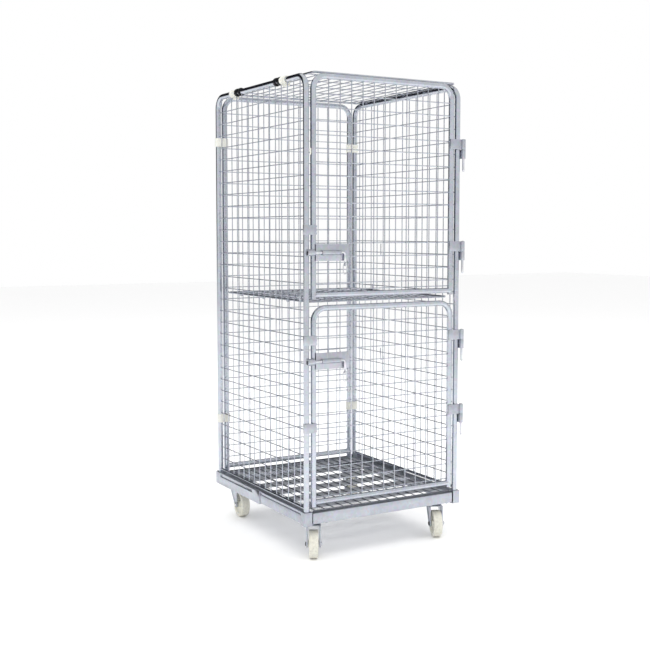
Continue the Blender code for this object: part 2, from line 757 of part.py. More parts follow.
def build_caster(name, side_x, side_y, root):
    centre = (side_x * CASTER_X, side_y * CASTER_Y)
    swivel_place = (centre[0], centre[1], BASE_Z0 - 0.0095)
    turn = Matrix.Translation((centre[0], centre[1], 0)) @ heading_turn(CASTER_HEADINGS[name])
    axle_place = turn @ Vector((0, CASTER_TRAIL, WHEEL_R))
    add_part(f"caster_plate_{name}", caster_plate(centre), ZINC, swivel_place, root)
    swivel = add_pivot(f"caster_{name}_swivel", swivel_place, root)
    add_part(f"caster_fork_{name}", caster_fork(turn), ZINC, swivel_place, swivel)
    add_part(f"caster_axle_{name}", caster_axle(turn), DARK, axle_place, swivel)
    add_part(f"caster_wheel_{name}", caster_wheel(turn), NYLON, axle_place, swivel)


# Assembly
def build_base(root):
    for name, side_x, side_y in (("fl", -1, -1), ("fr", 1, -1), ("rl", -1, 1), ("rr", 1, 1)):
        x = side_x * POST_X
        y = side_y * POST_Y
        add_part(f"corner_bracket_{name}", corner_bracket(side_x, side_y), ZINC, (x, y, BASE_Z0), root)
        build_caster(name, side_x, side_y, root)
    add_part("front_rail", cross_rail(-1), ZINC, (0, -POST_Y, RAIL_Z0), root)
    add_part("rear_rail", cross_rail(1), ZINC, (0, POST_Y, RAIL_Z0), root)
    add_part("left_rail", side_rail(-1), ZINC, (-POST_X, 0, BASE_Z0), root)
    add_part("right_rail", side_rail(1), ZINC, (POST_X, 0, BASE_Z0), root)
    add_part("deck_slats", deck_slats(), ZINC, (0, 0, DECK_Z), root)
    add_part("deck_wires", deck_wires(), BRIGHT, (0, 0, DECK_Z), root)


def build_panels(root):
    for name, side in (("left_panel", -1), ("right_panel", 1)):
        mesh = framed_mesh(POST_Y, PANEL_SILL_Z, TOP_Z, POST_FOOT_Z, PANEL_SILL_R, side_turn(side))
        add_part(name, mesh, ZINC, (side * POST_X, 0, BASE_Z1), root)
    turn = Matrix.Translation((0, POST_Y, 0)) @ Matrix.Rotation(math.pi, 4, "Z")
    back = framed_mesh(LEAF_X, BACK_Z[0], BACK_Z[1], RAIL_Z1 + GAP, CROSS_R, turn)
    add_part("back_panel", back, ZINC, (0, POST_Y, RAIL_Z1), root)
    for level, height in CLIP_HEIGHTS.items():
        for name, side in (("left", -1), ("right", 1)):
            add_part(f"corner_clip_{name}_{level}", corner_clip(side, height), NYLON,
                     (side * POST_X, POST_Y, height), root)


def build_door(level, span, hinges, stops, bolt_z, root):
    hinge_place = (HINGE_X, HINGE_Y, span[0])
    pivot = add_pivot(f"{level}_door_hinge_line", hinge_place, root)
    add_part(f"{level}_door", door_leaf(span, hinges, stops), ZINC, hinge_place, pivot)
    add_part(f"{level}_latch_plate", latch_plate(bolt_z), ZINC, (HANDLE_X, BOLT_Y, bolt_z), pivot)
    slide = add_pivot(f"{level}_bolt_line", (HANDLE_X, BOLT_Y, bolt_z), pivot)
    add_part(f"{level}_bolt", bolt(bolt_z), BRIGHT, (HANDLE_X, BOLT_Y, bolt_z), slide)
    add_part(f"{level}_pull_ring", pull_ring(bolt_z), BRIGHT, ring_place(bolt_z), slide)
    add_part(f"{level}_keeper", keeper(bolt_z), ZINC, (KEEPER_X[1], BOLT_Y, bolt_z), root)
    for index, strap_top in enumerate(hinges):
        number = index + 1
        place = (HINGE_X, HINGE_Y, strap_top)
        add_part(f"{level}_hinge_lug_{number}", hinge_lug(strap_top), ZINC, place, root)
        add_part(f"{level}_hinge_pin_{number}", hinge_pin(strap_top), ZINC, place, root)


def build_top_and_shelf(root):
    lid_place = (-POST_X, 0, TOP_Z)
    lid_pivot = add_pivot("lid_hinge_line", lid_place, root)
    add_part("lid", lid(), BRIGHT, lid_place, lid_pivot)
    add_part("lid_clip_front", lid_clip(-1), NYLON, (-POST_X, -LID_CLIP_Y, TOP_Z), root)
    add_part("lid_clip_rear", lid_clip(1), NYLON, (-POST_X, LID_CLIP_Y, TOP_Z), root)
    shelf_place = (SHELF_ROD_X, 0, SHELF_Z)
    shelf_pivot = add_pivot("shelf_hinge_line", shelf_place, root)
    add_part("shelf", shelf(), BRIGHT, shelf_place, shelf_pivot)
    add_part("shelf_rod", shelf_rod(), BRIGHT, shelf_place, root)
    for level, top_z in zip(("upper", "lower"), HOOK_TOPS):
        add_part(f"hold_back_hook_{level}", hold_back_hook(top_z), BRIGHT, (POST_X, HOOK_Y, top_z), root)
    add_part("door_buffer", door_buffer(), NYLON, (-POST_X, -POST_Y, BUFFER_Z), root)


def centre_over_origin(root):
    """Moves the whole cage so that its box is centred on X and Y and stands on Z = 0."""
    bpy.context.view_layer.update()
    corners = []
    for item in PARTS.objects:
        if item.type == "MESH":
            corners += [item.matrix_world @ vert.co for vert in item.data.vertices]
    low = Vector([min(corner[axis] for corner in corners) for axis in range(3)])
    high = Vector([max(corner[axis] for corner in corners) for axis in range(3)])
    root.location = (-(low.x + high.x) / 2, -(low.y + high.y) / 2, -low.z)


clear_scene()
PARTS = make_collection("roll_cage_container")
CAGE = add_pivot("roll_cage_origin", (0, 0, 0), None)
build_base(CAGE)
build_panels(CAGE)
build_door("upper", UPPER_DOOR_Z, UPPER_HINGES, UPPER_STOPS, UPPER_BOLT_Z, CAGE)
build_door("lower", LOWER_DOOR_Z, LOWER_HINGES, LOWER_STOPS, LOWER_BOLT_Z, CAGE)
build_top_and_shelf(CAGE)
centre_over_origin(CAGE)
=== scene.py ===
import math

import bmesh
import bpy
from mathutils import Matrix, Vector


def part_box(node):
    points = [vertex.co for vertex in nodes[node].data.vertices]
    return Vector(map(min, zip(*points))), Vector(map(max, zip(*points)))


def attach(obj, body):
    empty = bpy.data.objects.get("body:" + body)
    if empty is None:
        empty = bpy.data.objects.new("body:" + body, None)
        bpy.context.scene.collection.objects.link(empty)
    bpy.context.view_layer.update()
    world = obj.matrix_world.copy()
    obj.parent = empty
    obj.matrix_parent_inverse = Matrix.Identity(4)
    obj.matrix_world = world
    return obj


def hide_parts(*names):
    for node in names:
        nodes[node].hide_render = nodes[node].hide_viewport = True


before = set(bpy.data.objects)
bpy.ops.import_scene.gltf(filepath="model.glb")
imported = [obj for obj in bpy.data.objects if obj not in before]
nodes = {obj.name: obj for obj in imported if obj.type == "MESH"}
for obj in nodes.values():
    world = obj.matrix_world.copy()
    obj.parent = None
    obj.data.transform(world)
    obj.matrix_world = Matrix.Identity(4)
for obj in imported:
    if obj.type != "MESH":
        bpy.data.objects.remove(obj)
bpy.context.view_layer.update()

# the cage's own middle, between the two side panels: every size below is measured from it
leftLow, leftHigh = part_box("left_panel")
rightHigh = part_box("right_panel")[1]
middle = Vector(((leftLow.x + rightHigh.x) / 2, (leftLow.y + leftHigh.y) / 2, 0))

# sizes shared by many pieces, in metres from the middle
cage = {
    "postX": 0.345,           # corner post axis
    "postY": 0.3915,
    "top": 1.815,             # axis of the top tubes
    "tube": 0.011,            # radius of a frame tube
    "cross": 0.0105,          # radius of a leaf's bottom tube
    "bend": 0.050,
    "leafX": 0.315,           # axis of a door's or the back's upright
    "foot": 0.155,            # where the posts end in their sockets
    "sill": 0.200,
    "hingeX": 0.3655,
    "hingeY": -0.4055,
    "boltY": -0.4155,
}


def at(x, y, z):
    return middle + Vector((x, y, z))


# small modelling helpers
def freshStart():
    active = bpy.context.view_layer.objects.active
    if active is not None and active.mode != "OBJECT":
        bpy.ops.object.mode_set(mode="OBJECT")
    bpy.ops.object.select_all(action="DESELECT")


def takeUp(piece):
    freshStart()
    piece.select_set(True)
    bpy.context.view_layer.objects.active = piece


def applyPlace(piece):
    takeUp(piece)
    bpy.ops.object.transform_apply(location=True, rotation=True, scale=True)


def movePiece(piece, place):
    piece.matrix_world = place
    applyPlace(piece)
    return piece


def openMesh(piece, kind="VERT"):
    takeUp(piece)
    bpy.ops.object.mode_set(mode="EDIT")
    bpy.ops.mesh.select_mode(type=kind)
    bpy.ops.mesh.select_all(action="DESELECT")


def pickVerts(piece, test):
    work = bmesh.from_edit_mesh(piece.data)
    for vert in work.verts:
        vert.select = bool(test(vert.co))
    work.select_flush(True)
    bmesh.update_edit_mesh(piece.data)


def pickFaces(piece, test):
    work = bmesh.from_edit_mesh(piece.data)
    for face in work.faces:
        face.select = bool(test(face))
    work.select_flush(True)
    bmesh.update_edit_mesh(piece.data)


def closeMesh():
    bpy.ops.object.mode_set(mode="OBJECT")


def useModifier(piece, kind, **settings):
    takeUp(piece)
    step = piece.modifiers.new("step", kind)
    for key, value in settings.items():
        setattr(step, key, value)
    bpy.ops.object.modifier_apply(modifier=step.name)
    return piece


def softEdges(piece, width, rounds=2, limit=40):
    return useModifier(piece, "BEVEL", width=width, segments=rounds, limit_method="ANGLE",
                       angle_limit=math.radians(limit), use_clamp_overlap=True)


def repeat(piece, count, step):
    return useModifier(piece, "ARRAY", count=count, use_relative_offset=False, use_constant_offset=True,
                       constant_offset_displace=tuple(step))


def turnNormals(piece):
    openMesh(piece)
    bpy.ops.mesh.select_all(action="SELECT")
    bpy.ops.mesh.remove_doubles(threshold=0.00001)
    bpy.ops.mesh.normals_make_consistent(inside=False)
    closeMesh()
    return piece


def joinPieces(name, parts):
    freshStart()
    for part in parts:
        part.select_set(True)
    bpy.context.view_layer.objects.active = parts[0]
    if len(parts) > 1:
        bpy.ops.object.join()
    parts[0].name = name
    parts[0].data.name = name
    return parts[0]


def followMoves(place, way, moves):
    # carries the selected ring or edge along a list of straight runs and bends
    place = Vector(place)
    way = Vector(way).normalized()
    for move in moves:
        if move[0] == "on":
            bpy.ops.mesh.extrude_region_move(TRANSFORM_OT_translate={"value": way * move[1]})
            place = place + way * move[1]
        else:
            radius, degrees, axis = move[1:]
            axis = Vector(axis).normalized()
            centre = place + axis.cross(way) * radius
            rings = max(2, round(degrees / 11))
            bpy.ops.mesh.spin(steps=rings, angle=-math.radians(degrees), center=centre, axis=axis)
            turn = Matrix.Rotation(math.radians(degrees), 3, axis)
            place = centre + turn @ (place - centre)
            way = turn @ way
    return place, way


def bendBar(start, way, radius, moves, sides=14, closed=False, endEdge=0.0):
    freshStart()
    way = Vector(way).normalized()
    bpy.ops.mesh.primitive_circle_add(vertices=sides, radius=radius, location=start,
                                      fill_type="NOTHING" if closed else "NGON",
                                      rotation=way.to_track_quat("Z", "Y").to_euler())
    piece = bpy.context.object
    applyPlace(piece)
    openMesh(piece)
    bpy.ops.mesh.select_all(action="SELECT")
    followMoves(start, way, moves)
    closeMesh()
    turnNormals(piece)
    if endEdge:
        softEdges(piece, endEdge, 2, 60)
    return piece


def bendSheet(start, way, rise, tall, moves, thick, edge=0.0006):
    # a strip that stands tall along rise and runs through its bends, then gets its thickness
    freshStart()
    start = Vector(start)
    way = Vector(way).normalized()
    rise = Vector(rise).normalized()
    first = moves[0][1]
    turn = Matrix((way, rise, way.cross(rise))).transposed()
    bpy.ops.mesh.primitive_plane_add(size=1, location=start + way * first / 2 + rise * tall / 2,
                                     rotation=turn.to_euler())
    piece = bpy.context.object
    piece.scale = (first, tall, 1)
    applyPlace(piece)
    openMesh(piece)
    reach = (start + way * first).dot(way)
    pickVerts(piece, lambda co: co.dot(way) > reach - 0.00001)
    followMoves(start + way * first, way, moves[1:])
    closeMesh()
    turnNormals(piece)
    useModifier(piece, "SOLIDIFY", thickness=thick, offset=0, use_even_offset=True)
    if edge:
        softEdges(piece, edge, 2)
    return piece


def block(low, high, edge=0.001, rounds=2):
    freshStart()
    low, high = Vector(low), Vector(high)
    bpy.ops.mesh.primitive_cube_add(size=1, location=(low + high) / 2)
    piece = bpy.context.object
    piece.scale = high - low
    applyPlace(piece)
    return softEdges(piece, edge, rounds) if edge else piece


def turnPiece(profile, centre, axis, steps=32, edge=0.0):
    # a closed profile of (radius, height) pairs, spun round an axis
    freshStart()
    axis = Vector(axis).normalized()
    centre = Vector(centre)
    side = axis.orthogonal().normalized()
    bpy.ops.mesh.primitive_circle_add(vertices=len(profile), radius=0.01, fill_type="NOTHING",
                                      location=centre)
    piece = bpy.context.object
    applyPlace(piece)
    for vert, (radius, height) in zip(piece.data.vertices, profile):
        vert.co = centre + side * radius + axis * height
    openMesh(piece)
    bpy.ops.mesh.select_all(action="SELECT")
    bpy.ops.mesh.spin(steps=steps, angle=math.tau, center=centre, axis=axis)
    closeMesh()
    turnNormals(piece)
    if edge:
        softEdges(piece, edge, 2, 50)
    return piece


def pipe(start, end, outer, bore, edge=0.0005, steps=28):
    start, end = Vector(start), Vector(end)
    length = (end - start).length
    profile = [(bore, 0), (bore, length), (outer, length), (outer, 0)]
    return turnPiece(profile, start, end - start, steps, edge)


def outlinePlate(points, thick, edge=0.0008, rounds=2):
    # a flat outline in the XY plane, filled and extruded up from z = 0
    freshStart()
    bpy.ops.mesh.primitive_circle_add(vertices=len(points), radius=0.01, fill_type="NGON")
    piece = bpy.context.object
    for vert, (x, y) in zip(piece.data.vertices, points):
        vert.co = (x, y, 0)
    openMesh(piece)
    bpy.ops.mesh.select_all(action="SELECT")
    bpy.ops.mesh.extrude_region_move(TRANSFORM_OT_translate={"value": (0, 0, thick)})
    closeMesh()
    turnNormals(piece)
    return softEdges(piece, edge, rounds) if edge else piece


def weldSpots(place, size, rows=()):
    # one flattened bead, repeated along each row of (count, step)
    freshStart()
    bpy.ops.mesh.primitive_ico_sphere_add(subdivisions=1, radius=1, location=place)
    piece = bpy.context.object
    piece.scale = size
    applyPlace(piece)
    for count, step in rows:
        repeat(piece, count, step)
    return piece


def weldSeam(centre, axis, along, radius, mainRadius, bead=0.0013):
    # a fillet where a tube of this radius runs along axis into a tube that runs along the other direction
    freshStart()
    axis, along, centre = Vector(axis), Vector(along), Vector(centre)
    bpy.ops.mesh.primitive_torus_add(location=centre, rotation=axis.to_track_quat("Z", "Y").to_euler(),
                                     major_radius=radius, minor_radius=bead, major_segments=24,
                                     minor_segments=6)
    piece = bpy.context.object
    applyPlace(piece)
    across = axis.cross(along)
    for vert in piece.data.vertices:
        offset = min(abs((vert.co - centre).dot(across)), mainRadius * 0.98)
        vert.co += axis * (mainRadius - math.sqrt(mainRadius ** 2 - offset ** 2))
    return piece


def wireRow(start, end, radius, count=1, step=(0, 0, 0), sides=8, endEdge=0.0):
    freshStart()
    start, end = Vector(start), Vector(end)
    way = end - start
    bpy.ops.mesh.primitive_cylinder_add(vertices=sides, radius=radius, depth=way.length,
                                        location=(start + end) / 2,
                                        rotation=way.to_track_quat("Z", "Y").to_euler())
    piece = bpy.context.object
    applyPlace(piece)
    if endEdge:
        softEdges(piece, endEdge, 1, 60)
    if count > 1:
        repeat(piece, count, step)
    return piece


def cadCopy(node, edge=0.0007, rounds=2):
    # a merged copy of a CAD node, with the edges of pressed sheet
    freshStart()
    piece = bpy.data.objects.new(node + "Copy", nodes[node].data.copy())
    bpy.context.scene.collection.objects.link(piece)
    openMesh(piece)
    bpy.ops.mesh.select_all(action="SELECT")
    bpy.ops.mesh.remove_doubles(threshold=0.00001)
    bpy.ops.mesh.dissolve_limited(angle_limit=math.radians(2))
    closeMesh()
    if edge:
        softEdges(piece, edge, rounds, 35)
    low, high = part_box(node)
    for vert in piece.data.vertices:      # a rounded corner never stands proud of its node
        vert.co = [min(max(value, least), most) for value, least, most in zip(vert.co, low, high)]
    return piece


def finishPiece(piece, name, body, material, standsFor=(), smooth=38):
    piece.name = name
    piece.data.name = name
    applyPlace(piece)
    bpy.ops.object.shade_smooth_by_angle(angle=math.radians(smooth))
    piece.data.materials.clear()
    piece.data.materials.append(material)
    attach(piece, body)
    if standsFor:
        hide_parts(*standsFor)
    return piece


# materials
def addNode(tree, kind, **settings):
    # an input is named with _ for each space; anything else is a setting of the node
    node = tree.nodes.new(kind)
    for key, value in settings.items():
        label = key.replace("_", " ")
        if label in node.inputs:
            node.inputs[label].default_value = value
        else:
            setattr(node, key, value)
    return node


def multiply(tree, first, second, clamp=False):
    node = addNode(tree, "ShaderNodeMath", operation="MULTIPLY", use_clamp=clamp)
    tree.links.new(first, node.inputs[0])
    tree.links.new(second, node.inputs[1])
    return node.outputs["Value"]


def newGroup(name, inputs, outputs):
    group = bpy.data.node_groups.new(name, "ShaderNodeTree")
    for label, kind, value in inputs:
        socket = group.interface.new_socket(label, in_out="INPUT", socket_type=kind)
        socket.default_value = value
    for label, kind in outputs:
        group.interface.new_socket(label, in_out="OUTPUT", socket_type=kind)
    return group, group.nodes.new("NodeGroupInput"), group.nodes.new("NodeGroupOutput")


number, colour = "NodeSocketFloat", "NodeSocketColor"


def makeZincSkin():
    # plated steel: cloudy patches, a fine grain and small crystals
    group, given, out = newGroup("zincSkin", [
        ("Bright", colour, (0.6, 0.62, 0.68, 1)), ("Dull", colour, (0.5, 0.52, 0.57, 1)),
        ("Cloud Size", number, 6.0), ("Gloss", number, 0.25), ("Spread", number, 0.14)],
        [("Colour", colour), ("Roughness", number), ("Height", number)])
    link = group.links.new
    place = addNode(group, "ShaderNodeTexCoord")
    cloud = addNode(group, "ShaderNodeTexNoise", Detail=4.0, Roughness=0.6)
    link(place.outputs["Object"], cloud.inputs["Vector"])
    link(given.outputs["Cloud Size"], cloud.inputs["Scale"])
    grain = addNode(group, "ShaderNodeTexNoise", Scale=210.0, Detail=3.0)
    link(place.outputs["Object"], grain.inputs["Vector"])
    crystal = addNode(group, "ShaderNodeTexVoronoi", Scale=95.0)
    link(place.outputs["Object"], crystal.inputs["Vector"])
    patch = addNode(group, "ShaderNodeMapRange", From_Min=0.38, From_Max=0.66)
    link(cloud.outputs["Fac"], patch.inputs["Value"])
    tone = addNode(group, "ShaderNodeMix", data_type="RGBA")
    link(patch.outputs["Result"], tone.inputs["Factor"])
    link(given.outputs["Bright"], tone.inputs[6])
    link(given.outputs["Dull"], tone.inputs[7])
    fleck = addNode(group, "ShaderNodeMix", data_type="RGBA", blend_type="SOFT_LIGHT")
    fleck.inputs["Factor"].default_value = 0.16
    link(tone.outputs[2], fleck.inputs[6])
    link(crystal.outputs["Color"], fleck.inputs[7])
    grey = addNode(group, "ShaderNodeHueSaturation", Saturation=0.72)
    link(fleck.outputs[2], grey.inputs["Color"])
    link(grey.outputs["Color"], out.inputs["Colour"])
    share = addNode(group, "ShaderNodeMath", operation="MULTIPLY_ADD")
    mixed = addNode(group, "ShaderNodeMix")
    mixed.inputs["Factor"].default_value = 0.35
    link(cloud.outputs["Fac"], mixed.inputs[2])
    link(grain.outputs["Fac"], mixed.inputs[3])
    link(mixed.outputs[0], share.inputs[0])
    link(given.outputs["Spread"], share.inputs[1])
    link(given.outputs["Gloss"], share.inputs[2])
    link(share.outputs["Value"], out.inputs["Roughness"])
    rise = addNode(group, "ShaderNodeMix")
    rise.inputs["Factor"].default_value = 0.4
    link(grain.outputs["Fac"], rise.inputs[2])
    link(crystal.outputs["Distance"], rise.inputs[3])
    link(rise.outputs[0], out.inputs["Height"])
    return group


def makeScuffs():
    # fine scratches in two directions, broken up so that they come in patches
    group, given, out = newGroup("scuffs", [("Density", number, 0.5), ("Size", number, 1.0)],
                                 [("Mask", number)])
    link = group.links.new
    place = addNode(group, "ShaderNodeTexCoord")
    found = []
    for stretch in ((9.0, 9.0, 260.0), (240.0, 300.0, 7.0)):
        turn = addNode(group, "ShaderNodeMapping")
        turn.inputs["Scale"].default_value = stretch
        turn.inputs["Rotation"].default_value = (0.25, 0.12, 0.4)
        link(place.outputs["Object"], turn.inputs["Vector"])
        lines = addNode(group, "ShaderNodeTexNoise", Detail=2.0)
        link(turn.outputs["Vector"], lines.inputs["Vector"])
        link(given.outputs["Size"], lines.inputs["Scale"])
        found.append(lines)
    larger = addNode(group, "ShaderNodeMath", operation="MAXIMUM")
    link(found[0].outputs["Fac"], larger.inputs[0])
    link(found[1].outputs["Fac"], larger.inputs[1])
    sharp = addNode(group, "ShaderNodeMapRange", From_Min=0.66, From_Max=0.74)
    link(larger.outputs["Value"], sharp.inputs["Value"])
    where = addNode(group, "ShaderNodeTexNoise", Scale=7.0, Detail=3.0)
    link(place.outputs["Object"], where.inputs["Vector"])
    patch = addNode(group, "ShaderNodeMapRange", From_Min=0.45, From_Max=0.65)
    link(where.outputs["Fac"], patch.inputs["Value"])
    both = multiply(group, sharp.outputs["Result"], patch.outputs["Result"])
    link(multiply(group, both, given.outputs["Density"], True), out.inputs["Mask"])
    return group


def makeDust():
    # settles where the surface faces up, in uneven patches
    group, given, out = newGroup("dust", [("Amount", number, 0.3), ("Patch Size", number, 14.0)],
                                 [("Mask", number)])
    link = group.links.new
    place = addNode(group, "ShaderNodeTexCoord")
    facing = addNode(group, "ShaderNodeNewGeometry")
    split = addNode(group, "ShaderNodeSeparateXYZ")
    link(facing.outputs["Normal"], split.inputs["Vector"])
    upward = addNode(group, "ShaderNodeMapRange", From_Min=0.35)
    link(split.outputs["Z"], upward.inputs["Value"])
    spread = addNode(group, "ShaderNodeTexNoise", Detail=5.0, Roughness=0.65)
    link(place.outputs["Object"], spread.inputs["Vector"])
    link(given.outputs["Patch Size"], spread.inputs["Scale"])
    both = multiply(group, upward.outputs["Result"], spread.outputs["Fac"])
    link(multiply(group, both, given.outputs["Amount"], True), out.inputs["Mask"])
    return group


zincSkin, scuffs, dust = makeZincSkin(), makeScuffs(), makeDust()


def placeGroup(tree, group, **values):
    node = tree.nodes.new("ShaderNodeGroup")
    node.node_tree = group
    for key, value in values.items():
        node.inputs[key.replace("_", " ")].default_value = value
    return node


def mixColour(tree, factor, first, second):
    node = addNode(tree, "ShaderNodeMix", data_type="RGBA")
    for value, socket in ((factor, node.inputs[0]), (first, node.inputs[6]), (second, node.inputs[7])):
        if hasattr(value, "links"):
            tree.links.new(value, socket)
        else:
            socket.default_value = value
    return node.outputs[2]


def plated(name, bright, dull, gloss, spread, cloud=6.0, scratch=0.5, dustiness=0.25, bump=0.05):
    material = bpy.data.materials.new(name)
    material.use_nodes = True
    tree = material.node_tree
    shader = tree.nodes["Principled BSDF"]
    shader.inputs["Metallic"].default_value = 1.0
    skin = placeGroup(tree, zincSkin, Bright=(*bright, 1), Dull=(*dull, 1), Cloud_Size=cloud, Gloss=gloss,
                      Spread=spread)
    lines = placeGroup(tree, scuffs, Density=scratch)
    settled = placeGroup(tree, dust, Amount=dustiness)
    worn = mixColour(tree, lines.outputs["Mask"], skin.outputs["Colour"], (0.80, 0.81, 0.83, 1))
    dusty = mixColour(tree, settled.outputs["Mask"], worn, (0.42, 0.41, 0.39, 1))
    tree.links.new(dusty, shader.inputs["Base Color"])
    rough = addNode(tree, "ShaderNodeMath", operation="MULTIPLY_ADD")
    rough.inputs[1].default_value = 0.30
    tree.links.new(settled.outputs["Mask"], rough.inputs[0])
    tree.links.new(skin.outputs["Roughness"], rough.inputs[2])
    tree.links.new(rough.outputs["Value"], shader.inputs["Roughness"])
    relief = addNode(tree, "ShaderNodeBump", Strength=bump, Distance=0.0006)
    tree.links.new(skin.outputs["Height"], relief.inputs["Height"])
    tree.links.new(relief.outputs["Normal"], shader.inputs["Normal"])
    return material


def moulded(name, base, shade, roughness, centre=(0, 0, 0), tread=None):
    # nylon: milky, with faint flow marks; a wheel also gets floor dirt that thickens towards its tread
    material = bpy.data.materials.new(name)
    material.use_nodes = True
    tree = material.node_tree
    shader = tree.nodes["Principled BSDF"]
    shader.inputs["Subsurface Weight"].default_value = 0.12
    shader.inputs["Subsurface Radius"].default_value = (0.012, 0.010, 0.006)
    shader.inputs["Subsurface Scale"].default_value = 0.3
    place = addNode(tree, "ShaderNodeTexCoord")
    shift = addNode(tree, "ShaderNodeMapping")
    shift.inputs["Location"].default_value = tuple(-value for value in centre)
    tree.links.new(place.outputs["Object"], shift.inputs["Vector"])
    flow = addNode(tree, "ShaderNodeTexNoise", Scale=38.0, Detail=4.0, Distortion=1.4)
    tree.links.new(shift.outputs["Vector"], flow.inputs["Vector"])
    shown = mixColour(tree, flow.outputs["Fac"], (*base, 1), (*shade, 1))
    if tread:
        reach = addNode(tree, "ShaderNodeVectorMath", operation="LENGTH")
        tree.links.new(shift.outputs["Vector"], reach.inputs[0])
        near = addNode(tree, "ShaderNodeMapRange", From_Min=tread * 0.80, From_Max=tread * 1.02)
        tree.links.new(reach.outputs["Value"], near.inputs["Value"])
        grit = addNode(tree, "ShaderNodeTexNoise", Scale=120.0, Detail=6.0, Roughness=0.7)
        tree.links.new(shift.outputs["Vector"], grit.inputs["Vector"])
        patch = addNode(tree, "ShaderNodeMapRange", From_Min=0.40, From_Max=0.72, To_Max=0.5)
        tree.links.new(grit.outputs["Fac"], patch.inputs["Value"])
        dirt = multiply(tree, near.outputs["Result"], patch.outputs["Result"])
        shown = mixColour(tree, dirt, shown, (0.33, 0.31, 0.27, 1))
    settled = placeGroup(tree, dust, Amount=0.22, Patch_Size=40.0)
    shown = mixColour(tree, settled.outputs["Mask"], shown, (0.45, 0.43, 0.38, 1))
    tree.links.new(shown, shader.inputs["Base Color"])
    grain = addNode(tree, "ShaderNodeTexNoise", Scale=700.0, Detail=2.0)
    tree.links.new(place.outputs["Object"], grain.inputs["Vector"])
    rough = addNode(tree, "ShaderNodeMapRange", To_Min=roughness - 0.08, To_Max=roughness + 0.14)
    tree.links.new(flow.outputs["Fac"], rough.inputs["Value"])
    tree.links.new(rough.outputs["Result"], shader.inputs["Roughness"])
    relief = addNode(tree, "ShaderNodeBump", Strength=0.12, Distance=0.0004)
    tree.links.new(grain.outputs["Fac"], relief.inputs["Height"])
    tree.links.new(relief.outputs["Normal"], shader.inputs["Normal"])
    return material


galvanisedTube = plated("galvanisedTube", (0.50, 0.54, 0.62), (0.42, 0.46, 0.54), 0.12, 0.13)
weldedWire = plated("weldedWire", (0.47, 0.50, 0.58), (0.37, 0.40, 0.47), 0.16, 0.18, cloud=22.0,
                    scratch=0.2)
pressedSheet = plated("pressedSheet", (0.46, 0.49, 0.56), (0.40, 0.43, 0.50), 0.26, 0.18, cloud=9.0,
                      scratch=0.8)
deckSheet = plated("deckSheet", (0.64, 0.67, 0.74), (0.56, 0.59, 0.67), 0.38, 0.18, cloud=12.0,
                   scratch=1.0, dustiness=0.5)
turnedRod = plated("turnedRod", (0.66, 0.68, 0.73), (0.56, 0.58, 0.64), 0.14, 0.14, cloud=30.0,
                   scratch=0.3)
# the deck wires: the same plated wire painted darker, as painted shade for wires lying low in the cage
shadedDeckWire = plated("shadedDeckWire", (0.36, 0.38, 0.44), (0.28, 0.30, 0.35), 0.22, 0.18, cloud=22.0, scratch=0.3)
blackBolt = plated("blackBolt", (0.045, 0.045, 0.05), (0.03, 0.03, 0.035), 0.30, 0.2, cloud=40.0,
                   dustiness=0.3)
clipNylon = moulded("clipNylon", (0.76, 0.76, 0.71), (0.69, 0.69, 0.63), 0.42)
print("materials ready")


# panels: a bent tube, a sill tube and welded mesh
leaf = {
    "wire": 0.0020,           # wire radius
    "pitch": 0.050,
    "press": 0.0017,          # how far each layer of wires lies from the panel's plane
    "sides": 20,
    "sideMargin": 0.030,      # least space beside a side panel's outer wires
    "leafMargin": 0.041,      # and beside a door's or the back's
    "lowWire": 0.0185,        # a door's lowest cross wire, above its bottom tube
    "spot": (0.0026, 0.0015, 0.0026),
}


def gridFrom(low, high):
    first = math.ceil(round(low / leaf["pitch"], 4))
    last = math.floor(round(high / leaf["pitch"], 4))
    return leaf["pitch"] * first, last - first + 1


def makeFrame(half, bottom, top, foot, sillRadius):
    bend, tube = cage["bend"], cage["tube"]
    leg = top - bend - foot
    parts = [bendBar((-half, 0, foot), (0, 0, 1), tube,
                     [("on", leg), ("turn", bend, 90, (0, 1, 0)), ("on", 2 * (half - bend)),
                      ("turn", bend, 90, (0, 1, 0)), ("on", leg)], leaf["sides"])]
    openMesh(parts[0], "FACE")
    pickFaces(parts[0], lambda face: len(face.verts) > 8)
    bpy.ops.mesh.inset(thickness=0.0018, use_individual=True)
    bpy.ops.mesh.extrude_region_move(TRANSFORM_OT_translate={"value": (0, 0, 0.012)})
    closeMesh()
    parts.append(bendBar((-half + tube * 0.6, 0, bottom), (1, 0, 0), sillRadius,
                         [("on", 2 * half - tube * 1.2)], 18))
    for side in (-1, 1):
        parts.append(weldSeam((side * (half - tube), 0, bottom), (side, 0, 0), (0, 0, 1), sillRadius,
                              tube))
    return joinPieces("frame", parts)


